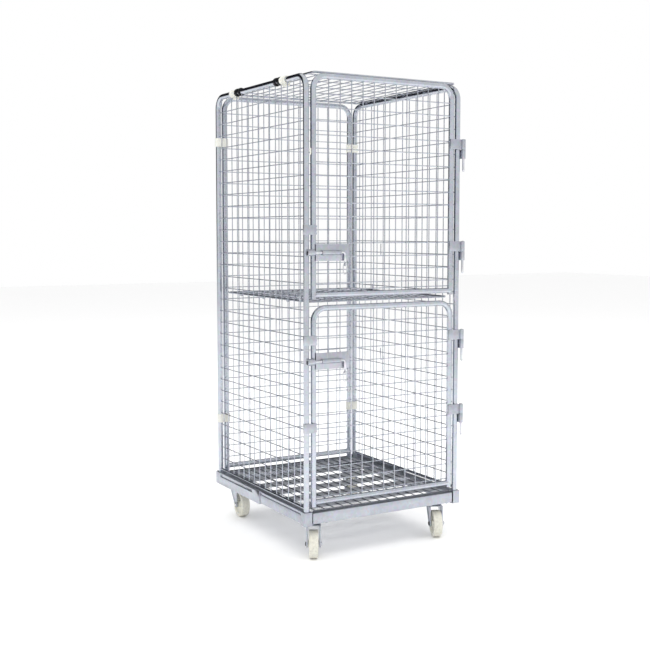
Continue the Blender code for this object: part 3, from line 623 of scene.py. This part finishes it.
def makeMesh(half, bottom, top, sillRadius, margin, lowWire=0.0):
    wire, pitch, press = leaf["wire"], leaf["pitch"], leaf["press"]
    columns = int((half - margin) * 2 / pitch) + 1
    firstX = -pitch * (columns - 1) / 2
    firstZ, rows = gridFrom(bottom + 0.035, top - 0.035)
    upStep, sideStep = (0, 0, pitch), (pitch, 0, 0)
    parts = [
        wireRow((firstX, -press, bottom + 0.002), (firstX, -press, top - 0.003), wire, columns, sideStep),
        wireRow((-half + 0.002, press, firstZ), (half - 0.002, press, firstZ), wire, rows, upStep),
        weldSpots((firstX, 0, firstZ), leaf["spot"], [(columns, sideStep), (rows, upStep)]),
        weldSpots((firstX, -press, bottom + sillRadius), (0.0032, 0.0032, 0.0016), [(columns, sideStep)]),
        weldSpots((firstX, -press, top - cage["tube"]), (0.0032, 0.0032, 0.0016), [(columns, sideStep)]),
    ]
    for side in (-1, 1):
        parts.append(weldSpots((side * (half - cage["tube"]), press, firstZ), (0.0016, 0.0032, 0.0032),
                               [(rows, upStep)]))
    if lowWire:
        up = bottom + lowWire
        parts.append(wireRow((-half + 0.002, press, up), (half - 0.002, press, up), wire))
        parts.append(weldSpots((firstX, 0, up), leaf["spot"], [(columns, sideStep)]))
    return joinPieces("mesh", parts)


def sidePlace(side):
    return Matrix.Translation(at(side * cage["postX"], 0, 0)) @ Matrix.Rotation(side * math.pi / 2, 4,
                                                                                "Z")


for label, side in (("left", -1), ("right", 1)):
    node = label + "_panel"
    tubes = movePiece(makeFrame(cage["postY"], cage["sill"], cage["top"], cage["foot"], 0.006),
                      sidePlace(side))
    finishPiece(tubes, label + "PanelFrame", "cage", galvanisedTube, [node])
    wires = movePiece(makeMesh(cage["postY"], cage["sill"], cage["top"], 0.006, leaf["sideMargin"]),
                      sidePlace(side))
    finishPiece(wires, label + "PanelMesh", "cage", weldedWire, [node])

backPlace = Matrix.Translation(at(0, cage["postY"], 0)) @ Matrix.Rotation(math.pi, 4, "Z")
backLow, backFoot = 0.209, 0.1828
tubes = movePiece(makeFrame(cage["leafX"], backLow, cage["top"], backFoot, cage["cross"]), backPlace)
finishPiece(tubes, "backPanelFrame", "cage", galvanisedTube, ["back_panel"])
wires = movePiece(makeMesh(cage["leafX"], backLow, cage["top"], cage["cross"], leaf["leafMargin"]),
                  backPlace)
finishPiece(wires, "backPanelMesh", "cage", weldedWire, ["back_panel"])
print("panels done")

# doors
door = {
    "strapTall": 0.040,
    "lugTall": 0.036,
    "sheet": 0.003,
    "knuckle": 0.0085,
    "bore": 0.0051,
    "pin": 0.0045,
    "pinDrop": 0.054,
    "stopTall": 0.036,
}
doorSpans = {"upper": (1.007, 1.815), "lower": (0.221, 0.957)}
hingeTops = {"upper": (1.609, 1.204), "lower": (0.8485, 0.5445)}
stopHeights = {"upper": (1.249,), "lower": (0.838, 0.508)}
boltHeights = {"upper": 1.165, "lower": 0.759}


def hingeStrap(strapTop):
    low = strapTop - door["strapTall"]
    x, y, leafX = cage["hingeX"], cage["hingeY"], cage["leafX"]
    sheet = door["sheet"]
    plate = bendSheet(at(leafX - 0.0105, y + 0.0072, low), (0, -1, 0), (0, 0, 1), door["strapTall"],
                      [("on", 0.0040), ("turn", 0.0032, 90, (0, 0, 1)),
                       ("on", x - leafX + 0.0105 - 0.0032 - 0.0075)],
                      sheet, 0.0007)
    roll = pipe(at(x, y, low + 0.0001), at(x, y, strapTop - 0.0001), door["knuckle"], door["bore"])
    seam = bendBar(at(x - 0.0083, y - 0.0022, low + 0.004), (0, 0, 1), 0.0013,
                   [("on", door["strapTall"] - 0.008)], 8,
                   endEdge=0.0004)
    beads = weldSpots(at(leafX + 0.0085, y + 0.0032, low + 0.005), (0.0026, 0.0020, 0.0042),
                      [(4, (0, 0, 0.010))])
    return [plate, roll, seam, beads]


def stopPlate(height):
    y = cage["hingeY"]
    tall = door["stopTall"]
    reach = cage["postX"] - cage["leafX"] + 0.0085 + 0.006
    plate = bendSheet(at(-cage["leafX"] + 0.006, y, height - tall / 2), (-1, 0, 0), (0, 0, 1), tall,
                      [("on", reach), ("turn", 0.0060, 90, (0, 0, -1)), ("on", 0.0045)], door["sheet"],
                      0.0007)
    beads = weldSpots(at(-cage["leafX"] + 0.0075, y + 0.0028, height - tall / 2 + 0.005),
                      (0.0026, 0.0020, 0.0042),
                      [(3, (0, 0, 0.013))])
    return [plate, beads]


for level in ("upper", "lower"):
    low, high = doorSpans[level]
    foot = low - 0.016
    place = Matrix.Translation(at(0, -cage["postY"], 0))
    body = level + "_door"
    tubes = movePiece(makeFrame(cage["leafX"], low, high, foot, cage["cross"]), place)
    finishPiece(tubes, level + "DoorFrame", body, galvanisedTube, [body])
    wires = movePiece(makeMesh(cage["leafX"], low, high, cage["cross"], leaf["leafMargin"],
                               leaf["lowWire"]), place)
    finishPiece(wires, level + "DoorMesh", body, weldedWire, [body])
    straps = []
    for strapTop in hingeTops[level]:
        straps += hingeStrap(strapTop)
    finishPiece(joinPieces("straps", straps), level + "DoorHingeStraps", body, pressedSheet,
                [body])
    stops = []
    for height in stopHeights[level]:
        stops += stopPlate(height)
    finishPiece(joinPieces("stops", stops), level + "DoorStops", body, pressedSheet, [body])

    x, y = cage["hingeX"], cage["hingeY"]
    for number, strapTop in enumerate(hingeTops[level], 1):
        high = strapTop - door["strapTall"] - 0.0005
        low = high - door["lugTall"]
        postFace = cage["postX"] + cage["tube"] + 0.0018
        lug = [pipe(at(x, y, low), at(x, y, high), door["knuckle"], door["bore"]),
               block(at(postFace - 0.0015, y + 0.002, low + 0.0005),
                     at(postFace + 0.0015, y + 0.022, high - 0.0005), 0.0006),
               weldSpots(at(postFace, y + 0.0215, low + 0.004), (0.0018, 0.0030, 0.0040),
                         [(4, (0, 0, 0.009))])]
        finishPiece(joinPieces("lug", lug), f"{level}HingeLug{number}", "cage", pressedSheet,
                    [f"{level}_hinge_lug_{number}"])
        length = door["strapTall"] + door["lugTall"] + door["pinDrop"]
        pin = [bendBar(at(x, y, strapTop + 0.0005), (0, 0, -1), door["pin"],
                       [("on", length - 0.010), ("turn", 0.007, 55, (0.5, -0.85, 0)), ("on", 0.0012)],
                       16, endEdge=0.0008),
               turnPiece([(0, 0.0), (0, 0.0016), (0.0030, 0.0013), (0.0066, 0.0004), (0.0072, 0.0)],
                         at(x, y, strapTop), (0, 0, 1), 20)]
        finishPiece(joinPieces("pin", pin), f"{level}HingePin{number}", "cage", turnedRod,
                    [f"{level}_hinge_pin_{number}"])
print("doors done")

# latches
latch = {
    "plateX": (-0.3126, -0.167),
    "tall": 0.063,
    "faceY": -0.4085,
    "sheet": 0.0025,
    "sleeveX": (-0.292, -0.211),
    "sleeve": 0.0085,
    "rod": 0.0048,
    "tipX": -0.3240,
    "handleX": -0.1915,
    "legX": (-0.3030, -0.3005),   # the folded leg beside the hollow upright
    "joggle": 0.0100,         # how far the plate's outer edge steps back
    "rodBend": 0.009,
    "handleDrop": 0.036,
    "keeperX": (-0.3545, -0.3245),
    "keeper": 0.0125,
    "keeperBore": 0.0078,
}
for level in ("upper", "lower"):
    z, y = boltHeights[level], cage["boltY"]
    low = z - latch["tall"] / 2
    left, right = latch["plateX"]
    sheet, faceY = latch["sheet"], latch["faceY"] + latch["sheet"] / 2
    joggle, legX = latch["joggle"], latch["legX"]
    backY = -cage["postY"] - leaf["press"] - leaf["wire"]
    plate = bendSheet(at(left, faceY + 0.0008, low), (1, 0, 0), (0, 0, 1), latch["tall"],
                      [("on", joggle), ("turn", 0.0014, 35, (0, 0, -1)), ("on", 0.0006),
                       ("turn", 0.0014, 35, (0, 0, 1)),
                       ("on", right - left - joggle - 0.0080), ("turn", 0.0032, 90, (0, 0, 1)),
                       ("on", backY - faceY - 0.0040)], sheet, 0.0006)
    leg = block(at(legX[0], faceY + 0.001, low + 0.003), at(legX[1], backY, low + latch["tall"] - 0.003),
                0.0005)
    sleeve = pipe(at(latch["sleeveX"][0], y, z), at(latch["sleeveX"][1], y, z), latch["sleeve"],
                  latch["rod"] + 0.0007)
    seams = []
    for side in (-1, 1):
        seams.append(bendBar(at(latch["sleeveX"][0] + 0.003, latch["faceY"] - 0.0006, z + side * 0.0078),
                             (1, 0, 0), 0.0014,
                             [("on", latch["sleeveX"][1] - latch["sleeveX"][0] - 0.006)], 8,
                             endEdge=0.0004))
    dimples = weldSpots(at(-0.288, latch["faceY"], z + 0.021), (0.0030, 0.0008, 0.0030),
                        [(2, (0.072, 0, 0)), (2, (0, 0, -0.042))])
    finishPiece(joinPieces("plate", [plate, leg, sleeve, dimples] + seams), level + "LatchPlate",
                level + "_door",
                pressedSheet, [level + "_latch_plate"])

    x = latch["handleX"]
    bend = latch["rodBend"]
    eyeZ = z - latch["handleDrop"] - 0.0075
    rod = bendBar(at(latch["tipX"], y, z), (1, 0, 0), latch["rod"],
                  [("on", x - bend - latch["tipX"]), ("turn", bend, 90, (0, 1, 0)),
                   ("on", latch["handleDrop"] - bend)],
                  16, endEdge=0.0010)
    eye = turnPiece([(0.0044, -0.0014), (0.0041, 0), (0.0044, 0.0014), (0.0072, 0.0016), (0.0080, 0.0008),
                     (0.0080, -0.0008), (0.0072, -0.0016)], at(x, y, eyeZ), (1, 0, 0), 28)
    finishPiece(joinPieces("bolt", [rod, eye]), level + "Bolt", level + "_bolt", turnedRod,
                [level + "_bolt"])

    ringHalf, ringWire, ringLong = 0.0078, 0.0018, 0.037
    ringTop = eyeZ - 0.0006
    straight = ringLong - 2 * ringHalf
    ring = bendBar(at(x + ringHalf, y, ringTop - ringHalf), (0, 0, 1), ringWire,
                   [("turn", ringHalf, 180, (0, -1, 0)), ("on", straight),
                    ("turn", ringHalf, 180, (0, -1, 0)),
                    ("on", straight)], 10, closed=True)
    finishPiece(ring, level + "PullRing", level + "_ring", turnedRod,
                [level + "_pull_ring"])

    start, end = latch["keeperX"]
    tube = pipe(at(start, y, z), at(end, y, z), latch["keeper"], latch["keeperBore"], 0.0008, 32)
    beads = weldSpots(at(start + 0.004, y + 0.0095, z + 0.0088), (0.0030, 0.0026, 0.0022),
                      [(4, (0.0072, 0, 0)), (2, (0, 0, -0.0176))])
    finishPiece(joinPieces("keeper", [tube, beads]), level + "Keeper", "cage", pressedSheet,
                [level + "_keeper"])
print("latches done")

# lid and shelf
lid = {
    "x": (-0.300, 0.345),
    "y": 0.370,
    "bar": 0.0044,
    "corner": 0.014,
    "z": 1.8308,
    "ringY": (0.160, 0.190),
    "collar": 0.0165,         # outside of a collar that turns on the left top tube
    "collarBore": 0.0113,
    "collarHalf": 0.0048,
}
shelf = {
    "x": (-0.3125, 0.3225),
    "y": 0.355,
    "bar": 0.004,
    "corner": 0.012,
    "z": 0.980,
    "rodX": -0.325,
}


def makeBorder(size, corner):
    left, right = size["x"]
    y, z, bar = size["y"], size["z"], size["bar"]
    wide, deep = right - left - 2 * corner, 2 * y - 2 * corner
    turn = ("turn", corner, 90, (0, 0, 1))
    return bendBar(at(left + corner, -y, z), (1, 0, 0), bar,
                   [("on", wide), turn, ("on", deep), turn, ("on", wide), turn, ("on", deep), turn], 12,
                   closed=True)


def makeGrate(size, margin, alongLayer, rows):
    left, right = size["x"]
    y, z, wire = size["y"], size["z"], leaf["wire"]
    press, pitch = leaf["press"], leaf["pitch"]
    count = int((right - left - margin) / pitch) + 1
    firstX = (left + right) / 2 - pitch * (count - 1) / 2
    rowCount, rowStep = rows
    firstY = -rowStep * (rowCount - 1) / 2
    return [
        wireRow(at(firstX, -y, z + alongLayer * press), at(firstX, y, z + alongLayer * press), wire,
                count, (pitch, 0, 0), 8),
        wireRow(at(left, firstY, z - alongLayer * press), at(right, firstY, z - alongLayer * press),
                wire, rowCount,
                (0, rowStep, 0), 8),
        weldSpots(at(firstX, firstY, z), (0.0026, 0.0026, 0.0015),
                  [(count, (pitch, 0, 0)), (rowCount, (0, rowStep, 0))]),
        weldSpots(at(firstX, -y, z + alongLayer * 0.003), (0.0030, 0.0040, 0.0016),
                  [(count, (pitch, 0, 0)), (2, (0, 2 * y, 0))]),
        weldSpots(at(left, firstY, z - alongLayer * 0.003), (0.0040, 0.0030, 0.0013),
                  [(rowCount, (0, rowStep, 0)), (2, (right - left, 0, 0))]),
    ]


collars = []
lidParts = [makeBorder(lid, lid["corner"])] + makeGrate(lid, 0.08, -1, (5, 0.150))
for side in (-1, 1):
    for ringY in lid["ringY"]:
        y = side * ringY
        centre = at(-cage["postX"], y, cage["top"])
        half = lid["collarHalf"]
        profile = [(lid["collarBore"], -half), (lid["collarBore"], half), (lid["collar"] - 0.0012, half),
                   (lid["collar"], half - 0.0014), (lid["collar"], 0.0014 - half),
                   (lid["collar"] - 0.0012, -half)]
        collars.append(turnPiece(profile, centre, (0, 1, 0), 32, 0.0004))
        start = at(-cage["postX"] + 0.008, y, cage["top"] + 0.0122)
        lidParts.append(wireRow(start, at(lid["x"][0], y, lid["z"] - 0.0005), 0.0025, sides=10))
finishPiece(joinPieces("lid", lidParts), "lidGrille", "lid", weldedWire, ["lid"])
finishPiece(joinPieces("collars", collars), "lidCollars", "lid", blackBolt, ["lid"])

shelfParts = [makeBorder(shelf, shelf["corner"])] + makeGrate(shelf, 0.06, 1, (14, 0.050))
for y in (-0.21, 0.0, 0.21):
    shelfParts.append(bendBar(at(shelf["rodX"], y, shelf["z"] + 0.0072), (1, 0, 0), 0.0022,
                              [("turn", 0.0072, 360, (0, 1, 0))], 10, closed=True))
    shelfParts.append(wireRow(at(shelf["rodX"] + 0.0065, y, shelf["z"]),
                              at(shelf["x"][0], y, shelf["z"]), 0.0022))
for y in (-0.225, 0.225):
    restZ = 1.0 + 0.0018 + 0.0004 + 0.0022
    rise = restZ - shelf["z"]
    bend = 0.0050
    shelfParts.append(bendBar(at(shelf["x"][1], y, shelf["z"]), (1, 0, 0), 0.0022,
                              [("on", 0.0107), ("turn", bend, 90, (0, -1, 0)), ("on", rise - 2 * bend),
                               ("turn", bend, 90, (0, 1, 0)), ("on", 0.0002)], 10, endEdge=0.0006))
finishPiece(joinPieces("shelf", shelfParts), "shelfGrille", "shelf", weldedWire, ["shelf"])
finishPiece(cadCopy("shelf_rod", 0), "shelfRod", "cage", weldedWire, ["shelf_rod"])
print("lid and shelf done")

# nylon clips, hooks and the door buffer
clip = {"tall": 0.036, "around": 0.0150, "lidLong": 0.042, "lidY": 0.225}
for level, height in (("upper", 1.625), ("lower", 0.425)):
    for label, side in (("left", -1), ("right", 1)):
        inner, outer = cage["leafX"], cage["postX"]
        points = []
        for index in range(9):
            angle = math.radians(-90 + 180 * index / 8)
            points.append((outer + clip["around"] * math.cos(angle), clip["around"] * math.sin(angle)))
        for index in range(9):
            angle = math.radians(90 + 180 * index / 8)
            points.append((inner + clip["around"] * math.cos(angle), clip["around"] * math.sin(angle)))
        shell = outlinePlate(points, clip["tall"], 0)
        openMesh(shell, "FACE")
        pickFaces(shell, lambda face: abs(face.normal.z) < 0.1 and abs(face.normal.y) > 0.9)
        bpy.ops.mesh.inset(thickness=0.0045)
        bpy.ops.transform.shrink_fatten(value=-0.0014)
        closeMesh()
        softEdges(shell, 0.0011, 3, 25)
        tie = block((inner + 0.013, -0.0159, clip["tall"] / 2 - 0.004),
                    (outer - 0.013, 0.0159, clip["tall"] / 2 + 0.004), 0.001)
        shell = joinPieces("clip", [shell, tie])
        turn = Matrix.Rotation(math.pi, 4, "Z") if side < 0 else Matrix.Identity(4)
        movePiece(shell, Matrix.Translation(at(0, cage["postY"], height - clip["tall"] / 2)) @ turn)
        finishPiece(shell, f"cornerClip{label.title()}{level.title()}", "cage", clipNylon,
                    [f"corner_clip_{label}_{level}"])
for label, side in (("Front", -1), ("Rear", 1)):
    y = side * clip["lidY"]
    half = clip["lidLong"] / 2
    profile = [(0.0113, -half), (0.0113, half), (0.0155, half), (0.0155, half - 0.006),
               (0.0149, half - 0.007),
               (0.0149, -half + 0.007), (0.0155, -half + 0.006), (0.0155, -half)]
    sleeve = turnPiece(profile, at(-cage["postX"], y, cage["top"]), (0, 1, 0), 32, 0.0006)
    tongue = block(at(-cage["postX"] + 0.001, y - half + 0.002, cage["top"] - 0.024),
                   at(-cage["postX"] + 0.0135, y + half - 0.002, cage["top"] - 0.010), 0.0022, 3)
    finishPiece(joinPieces("clip", [sleeve, tongue]), "lidClip" + label, "cage", clipNylon,
                ["lid_clip_" + label.lower()])
for label, top in (("Upper", 1.188), ("Lower", 0.717)):
    x = cage["postX"] + 0.0068
    hook = bendBar(at(x, 0.176, top), (0, 0, -1), 0.0027,
                   [("on", 0.0475), ("turn", 0.0065, 180, (0, -1, 0)), ("on", 0.010)], 12, endEdge=0.0009)
    finishPiece(hook, "holdBackHook" + label, "cage", turnedRod,
                ["hold_back_hook_" + label.lower()])
bufferX = -(cage["postX"] + cage["leafX"]) / 2
buffer = turnPiece([(0, -0.012), (0.0022, -0.012), (0.0030, -0.0105), (0.0030, 0.0105), (0.0022, 0.012),
                    (0, 0.012)],
                   at(bufferX, -cage["postY"] - 0.006, 1.537), (0, 0, 1), 20)
finishPiece(buffer, "doorBuffer", "cage", clipNylon, ["door_buffer"])
print("clips and hooks done")

# base
for label in ("fl", "fr", "rl", "rr"):
    finishPiece(cadCopy("corner_bracket_" + label, 0.0012, 3), "cornerBracket" + label.upper(), "cage",
                pressedSheet, ["corner_bracket_" + label])
for label in ("front", "rear", "left", "right"):
    finishPiece(cadCopy(label + "_rail", 0.0009), label + "Rail", "cage", pressedSheet,
                [label + "_rail"])
finishPiece(cadCopy("deck_slats", 0.0005), "deckSlats", "cage", deckSheet, ["deck_slats"])

deck = {"wire": 0.0020, "pitch": 0.042, "count": 15, "reach": 0.370, "z": 0.1823}
firstX = -deck["pitch"] * (deck["count"] - 1) / 2
deckParts = [wireRow(at(firstX, -deck["reach"], deck["z"]), at(firstX, deck["reach"], deck["z"]),
                     deck["wire"],
                     deck["count"], (deck["pitch"], 0, 0), 8)]
for side in (-1, 1):
    y = side * deck["reach"]
    deckParts.append(wireRow(at(firstX - 0.012, y, deck["z"]), at(-firstX + 0.012, y, deck["z"]), 0.0022,
                             sides=10))
# the deck wires take the darker wire material, painted shade rather than a different finish
finishPiece(joinPieces("wires", deckParts), "deckWires", "cage", shadedDeckWire, ["deck_wires"])
print("base done")

# casters
caster = {
    "x": 0.285,
    "y": 0.338,
    "trail": 0.036,
    "wheel": 0.054,
    "halfWidth": 0.0175,
    "forkInner": 0.0215,
    "forkSheet": 0.0030,
    "flange": 0.0070,
    "plateTop": 0.1357,
    "headings": {"fl": 209.0, "fr": 204.0, "rl": 183.0, "rr": 196.0},
}


def forkLeg(side):
    top, axleZ, trail = caster["plateTop"] - 0.012, caster["wheel"], caster["trail"]
    points = [(-0.026, top), (-0.0255, top - 0.014)]
    for index in range(9):
        angle = math.radians(200 + 18.5 * index)
        points.append((trail + 0.0135 * math.cos(angle), axleZ + 0.0135 * math.sin(angle)))
    points += [(0.0415, top - 0.014), (0.038, top)]
    leg = outlinePlate(points, caster["flange"], 0)
    openMesh(leg, "FACE")
    pickFaces(leg, lambda face: face.normal.z > 0.9)
    bpy.ops.mesh.inset(thickness=0.0026)
    bpy.ops.transform.translate(value=(0, 0, caster["forkSheet"] - caster["flange"]))
    closeMesh()
    softEdges(leg, 0.0012, 3, 30)
    stand = Matrix(((0, 0, side, side * caster["forkInner"]), (1, 0, 0, 0), (0, 1, 0, 0), (0, 0, 0, 1)))
    leg.data.transform(stand)
    return turnNormals(leg)


def makeFork():
    top = caster["plateTop"] - 0.0095
    inner = caster["forkInner"]
    axle = Vector((0, caster["trail"], caster["wheel"]))
    bridge = block((-inner - 0.0045, -0.026, top - 0.0045), (inner + 0.0045, 0.036, top - 0.0005),
                   0.0018, 3)
    race = turnPiece([(0, -0.006), (0.0235, -0.006), (0.0270, -0.003), (0.0270, 0.0005),
                      (0.0245, 0.0022), (0, 0.0022)],
                     (0, 0, top), (0, 0, 1), 36)
    nut = turnPiece([(0, -0.012), (0.0070, -0.012), (0.0080, -0.0105), (0.0080, -0.005), (0, -0.005)],
                    (0, 0, top), (0, 0, 1), 6)
    bosses = []
    for side in (-1, 1):
        start = axle + Vector((side * (inner + 0.002), 0, 0))
        bosses.append(pipe(start, start + Vector((side * 0.0030, 0, 0)), 0.0105, 0.0058, 0.0008, 24))
    return joinPieces("fork", [forkLeg(-1), forkLeg(1), bridge, race, nut] + bosses)


def makeAxle(nutSide):
    face = caster["forkInner"] + 0.0050
    centre = Vector((0, caster["trail"], caster["wheel"]))
    reach = Vector((1, 0, 0))
    rod = bendBar(centre - reach * (face + 0.0075), reach, 0.0048, [("on", 2 * face + 0.0095)], 16,
                  endEdge=0.0008)
    ends = {}
    for side in (-1, 1):
        start = centre + reach * side * face
        parts = [pipe(start, centre + reach * side * (face + 0.0011), 0.0092, 0.005, 0.0003, 24)]
        tall = 0.0052 if side > 0 else 0.0058
        profile = [(0, 0.0011), (0.0080, 0.0011), (0.0080, tall - 0.0008), (0.0068, tall), (0, tall)]
        parts.append(turnPiece(profile, start, reach * side, 6))
        ends[side] = parts
    return joinPieces("bolt", [rod] + ends[-nutSide]), joinPieces("nut", ends[nutSide])


def makeWheel():
    half, rim = caster["halfWidth"], caster["wheel"]
    profile = [(0.0068, 0.0195), (0.0120, 0.0195), (0.0140, 0.0185), (0.0150, 0.0130), (0.0170, 0.0098),
               (0.0350, 0.0085),
               (0.0380, 0.0105), (0.0400, 0.0155), (0.0415, half - 0.0004), (0.0430, half),
               (0.0500, half),
               (0.0522, half - 0.0009), (rim - 0.0006, half - 0.0030), (rim, half - 0.0065)]
    profile = profile + [(radius, -height) for radius, height in reversed(profile)]
    return turnPiece(profile, (0, caster["trail"], rim), (1, 0, 0), 64)


def makeHub():
    centre = Vector((0, caster["trail"], caster["wheel"]))
    parts = []
    for side in (-1, 1):
        start = centre + Vector((side * 0.0188, 0, 0))
        parts.append(pipe(start, start + Vector((side * 0.0016, 0, 0)), 0.0113, 0.0055, 0.0004, 28))
    return joinPieces("hub", parts)


def makeTopPlate(centre):
    x, y = centre
    top = caster["plateTop"]
    parts = [block(at(x - 0.050, y - 0.040, top - 0.003), at(x + 0.050, y + 0.040, top), 0.0009),
             turnPiece([(0, -0.0085), (0.0245, -0.0085), (0.0285, -0.0058), (0.0285, -0.0030),
                        (0, -0.0030)],
                       at(x, y, top), (0, 0, 1), 40)]
    for boltX in (-0.040, 0.040):
        for boltY in (-0.030, 0.030):
            head = [(0, -0.0072), (0.0054, -0.0072), (0.0062, -0.0064), (0.0062, -0.0030), (0, -0.0030)]
            parts.append(turnPiece(head, at(x + boltX, y + boltY, top), (0, 0, 1), 6))
    return joinPieces("plate", parts)


wheelHubSteel = plated("wheelHubSteel", (0.50, 0.52, 0.56), (0.36, 0.38, 0.42), 0.28, 0.2, cloud=60.0)
for label, sideX, sideY in (("fl", -1, -1), ("fr", 1, -1), ("rl", -1, 1), ("rr", 1, 1)):
    x, y = sideX * caster["x"], sideY * caster["y"]
    turn = Matrix.Translation(at(x, y, 0)) @ Matrix.Rotation(-math.radians(caster["headings"][label]), 4,
                                                             "Z")
    tag = label.upper()
    finishPiece(makeTopPlate((x, y)), "casterPlate" + tag, "cage", pressedSheet,
                ["caster_plate_" + label])
    finishPiece(movePiece(makeFork(), turn), "casterFork" + tag, "swivel_" + label,
                pressedSheet,
                ["caster_fork_" + label])
    bolt, nut = makeAxle(1 if sideY < 0 else -1)
    finishPiece(movePiece(bolt, turn), "casterAxle" + tag, "swivel_" + label, turnedRod,
                ["caster_axle_" + label])
    finishPiece(movePiece(nut, turn), "casterNut" + tag, "swivel_" + label, blackBolt,
                ["caster_axle_" + label])
    axle = turn @ Vector((0, caster["trail"], caster["wheel"]))
    nylon = moulded("wheelNylon" + tag, (0.74, 0.73, 0.65), (0.66, 0.65, 0.56), 0.40, axle,
                    caster["wheel"])
    finishPiece(movePiece(makeWheel(), turn), "casterWheel" + tag, "wheel_" + label, nylon,
                ["caster_wheel_" + label])
    finishPiece(movePiece(makeHub(), turn), "wheelHub" + tag, "wheel_" + label,
                wheelHubSteel)
print("casters done")

# studio
studio = {
    "floorSize": 40.0,
    "floorColour": (0.97, 0.97, 0.97, 1),
    "lens": 57.75,
    "shiftY": -0.0196,
    "eye": (-2.2091, -3.7741, 1.2437),
    "pitch": 85.563,
    "yaw": -29.892,
}
freshStart()
bpy.ops.mesh.primitive_plane_add(size=studio["floorSize"], location=(0, 0, -0.0005))
floor = bpy.context.object
floor.name = "studioFloor"
floorPaint = bpy.data.materials.new("floorPaint")
floorPaint.use_nodes = True
paint = floorPaint.node_tree.nodes["Principled BSDF"]
paint.inputs["Base Color"].default_value = studio["floorColour"]
paint.inputs["Roughness"].default_value = 0.9
floor.data.materials.append(floorPaint)

camera = bpy.data.cameras.new("camera")
camera.lens = studio["lens"]
camera.sensor_width = 36
camera.shift_y = studio["shiftY"]
camera.clip_end = 200
cameraObject = bpy.data.objects.new("camera", camera)
bpy.context.scene.collection.objects.link(cameraObject)
cameraObject.location = at(*studio["eye"])
cameraObject.rotation_euler = (math.radians(studio["pitch"]), 0, math.radians(studio["yaw"]))
bpy.context.scene.camera = cameraObject


def softLight(name, place, target, size, power, inMetal=True):
    lamp = bpy.data.lights.new(name, "AREA")
    lamp.shape = "RECTANGLE"
    lamp.size, lamp.size_y = size
    lamp.energy = power
    item = bpy.data.objects.new(name, lamp)
    bpy.context.scene.collection.objects.link(item)
    item.location = place
    item.rotation_euler = (Vector(target) - Vector(place)).to_track_quat("-Z", "Y").to_euler()
    item.visible_glossy = inMetal
    item.visible_camera = False


softLight("skyPanel", (0, 0, 5.5), (0, 0, 0), (9, 9), 260, inMetal=False)
softLight("frontPanel", (-2.5, -6.0, 3.0), (0, 0, 0.9), (4.0, 3.0), 60, inMetal=False)

# the room: white all round, with a dark opening behind the cage that its bright metal reflects
room = {
    "white": (1.0, 1.0, 1.0, 1),
    "dark": (0.012, 0.013, 0.018, 1),
    "openingLeft": (-78, -62),      # where it starts and is full, in degrees from straight behind
    "openingRight": (40, 60),
    "openingLow": (-0.075, -0.035),   # sines of the heights
    "openingHigh": (0.62, 0.80),
}
world = bpy.data.worlds.new("studioRoom")
bpy.context.scene.world = world
world.use_nodes = True
tree = world.node_tree
link = tree.links.new
look = addNode(tree, "ShaderNodeTexCoord")
parts = addNode(tree, "ShaderNodeSeparateXYZ")
link(look.outputs["Generated"], parts.inputs["Vector"])
bearing = addNode(tree, "ShaderNodeMath", operation="ARCTAN2")
link(parts.outputs["X"], bearing.inputs[0])
link(parts.outputs["Y"], bearing.inputs[1])


def edgeMask(source, span, low, high):
    mask = addNode(tree, "ShaderNodeMapRange", interpolation_type="SMOOTHSTEP")
    mask.inputs["From Min"].default_value, mask.inputs["From Max"].default_value = span
    mask.inputs["To Min"].default_value, mask.inputs["To Max"].default_value = low, high
    link(source, mask.inputs["Value"])
    return mask.outputs["Result"]


masks = [
    edgeMask(bearing.outputs["Value"], [math.radians(value) for value in room["openingLeft"]], 0, 1),
    edgeMask(bearing.outputs["Value"], [math.radians(value) for value in room["openingRight"]], 1, 0),
    edgeMask(parts.outputs["Z"], room["openingLow"], 0, 1),
    edgeMask(parts.outputs["Z"], room["openingHigh"], 1, 0),
]
whole = masks[0]
for mask in masks[1:]:
    whole = multiply(tree, whole, mask)
reflected = addNode(tree, "ShaderNodeMix", data_type="RGBA")
link(whole, reflected.inputs[0])
reflected.inputs[6].default_value = room["white"]
reflected.inputs[7].default_value = room["dark"]
seen = addNode(tree, "ShaderNodeLightPath")
choose = addNode(tree, "ShaderNodeMix", data_type="RGBA")
link(seen.outputs["Is Glossy Ray"], choose.inputs[0])
choose.inputs[6].default_value = room["white"]
link(reflected.outputs[2], choose.inputs[7])
link(choose.outputs[2], tree.nodes["Background"].inputs["Color"])
bpy.context.scene.view_settings.view_transform = "Standard"
print("studio ready")
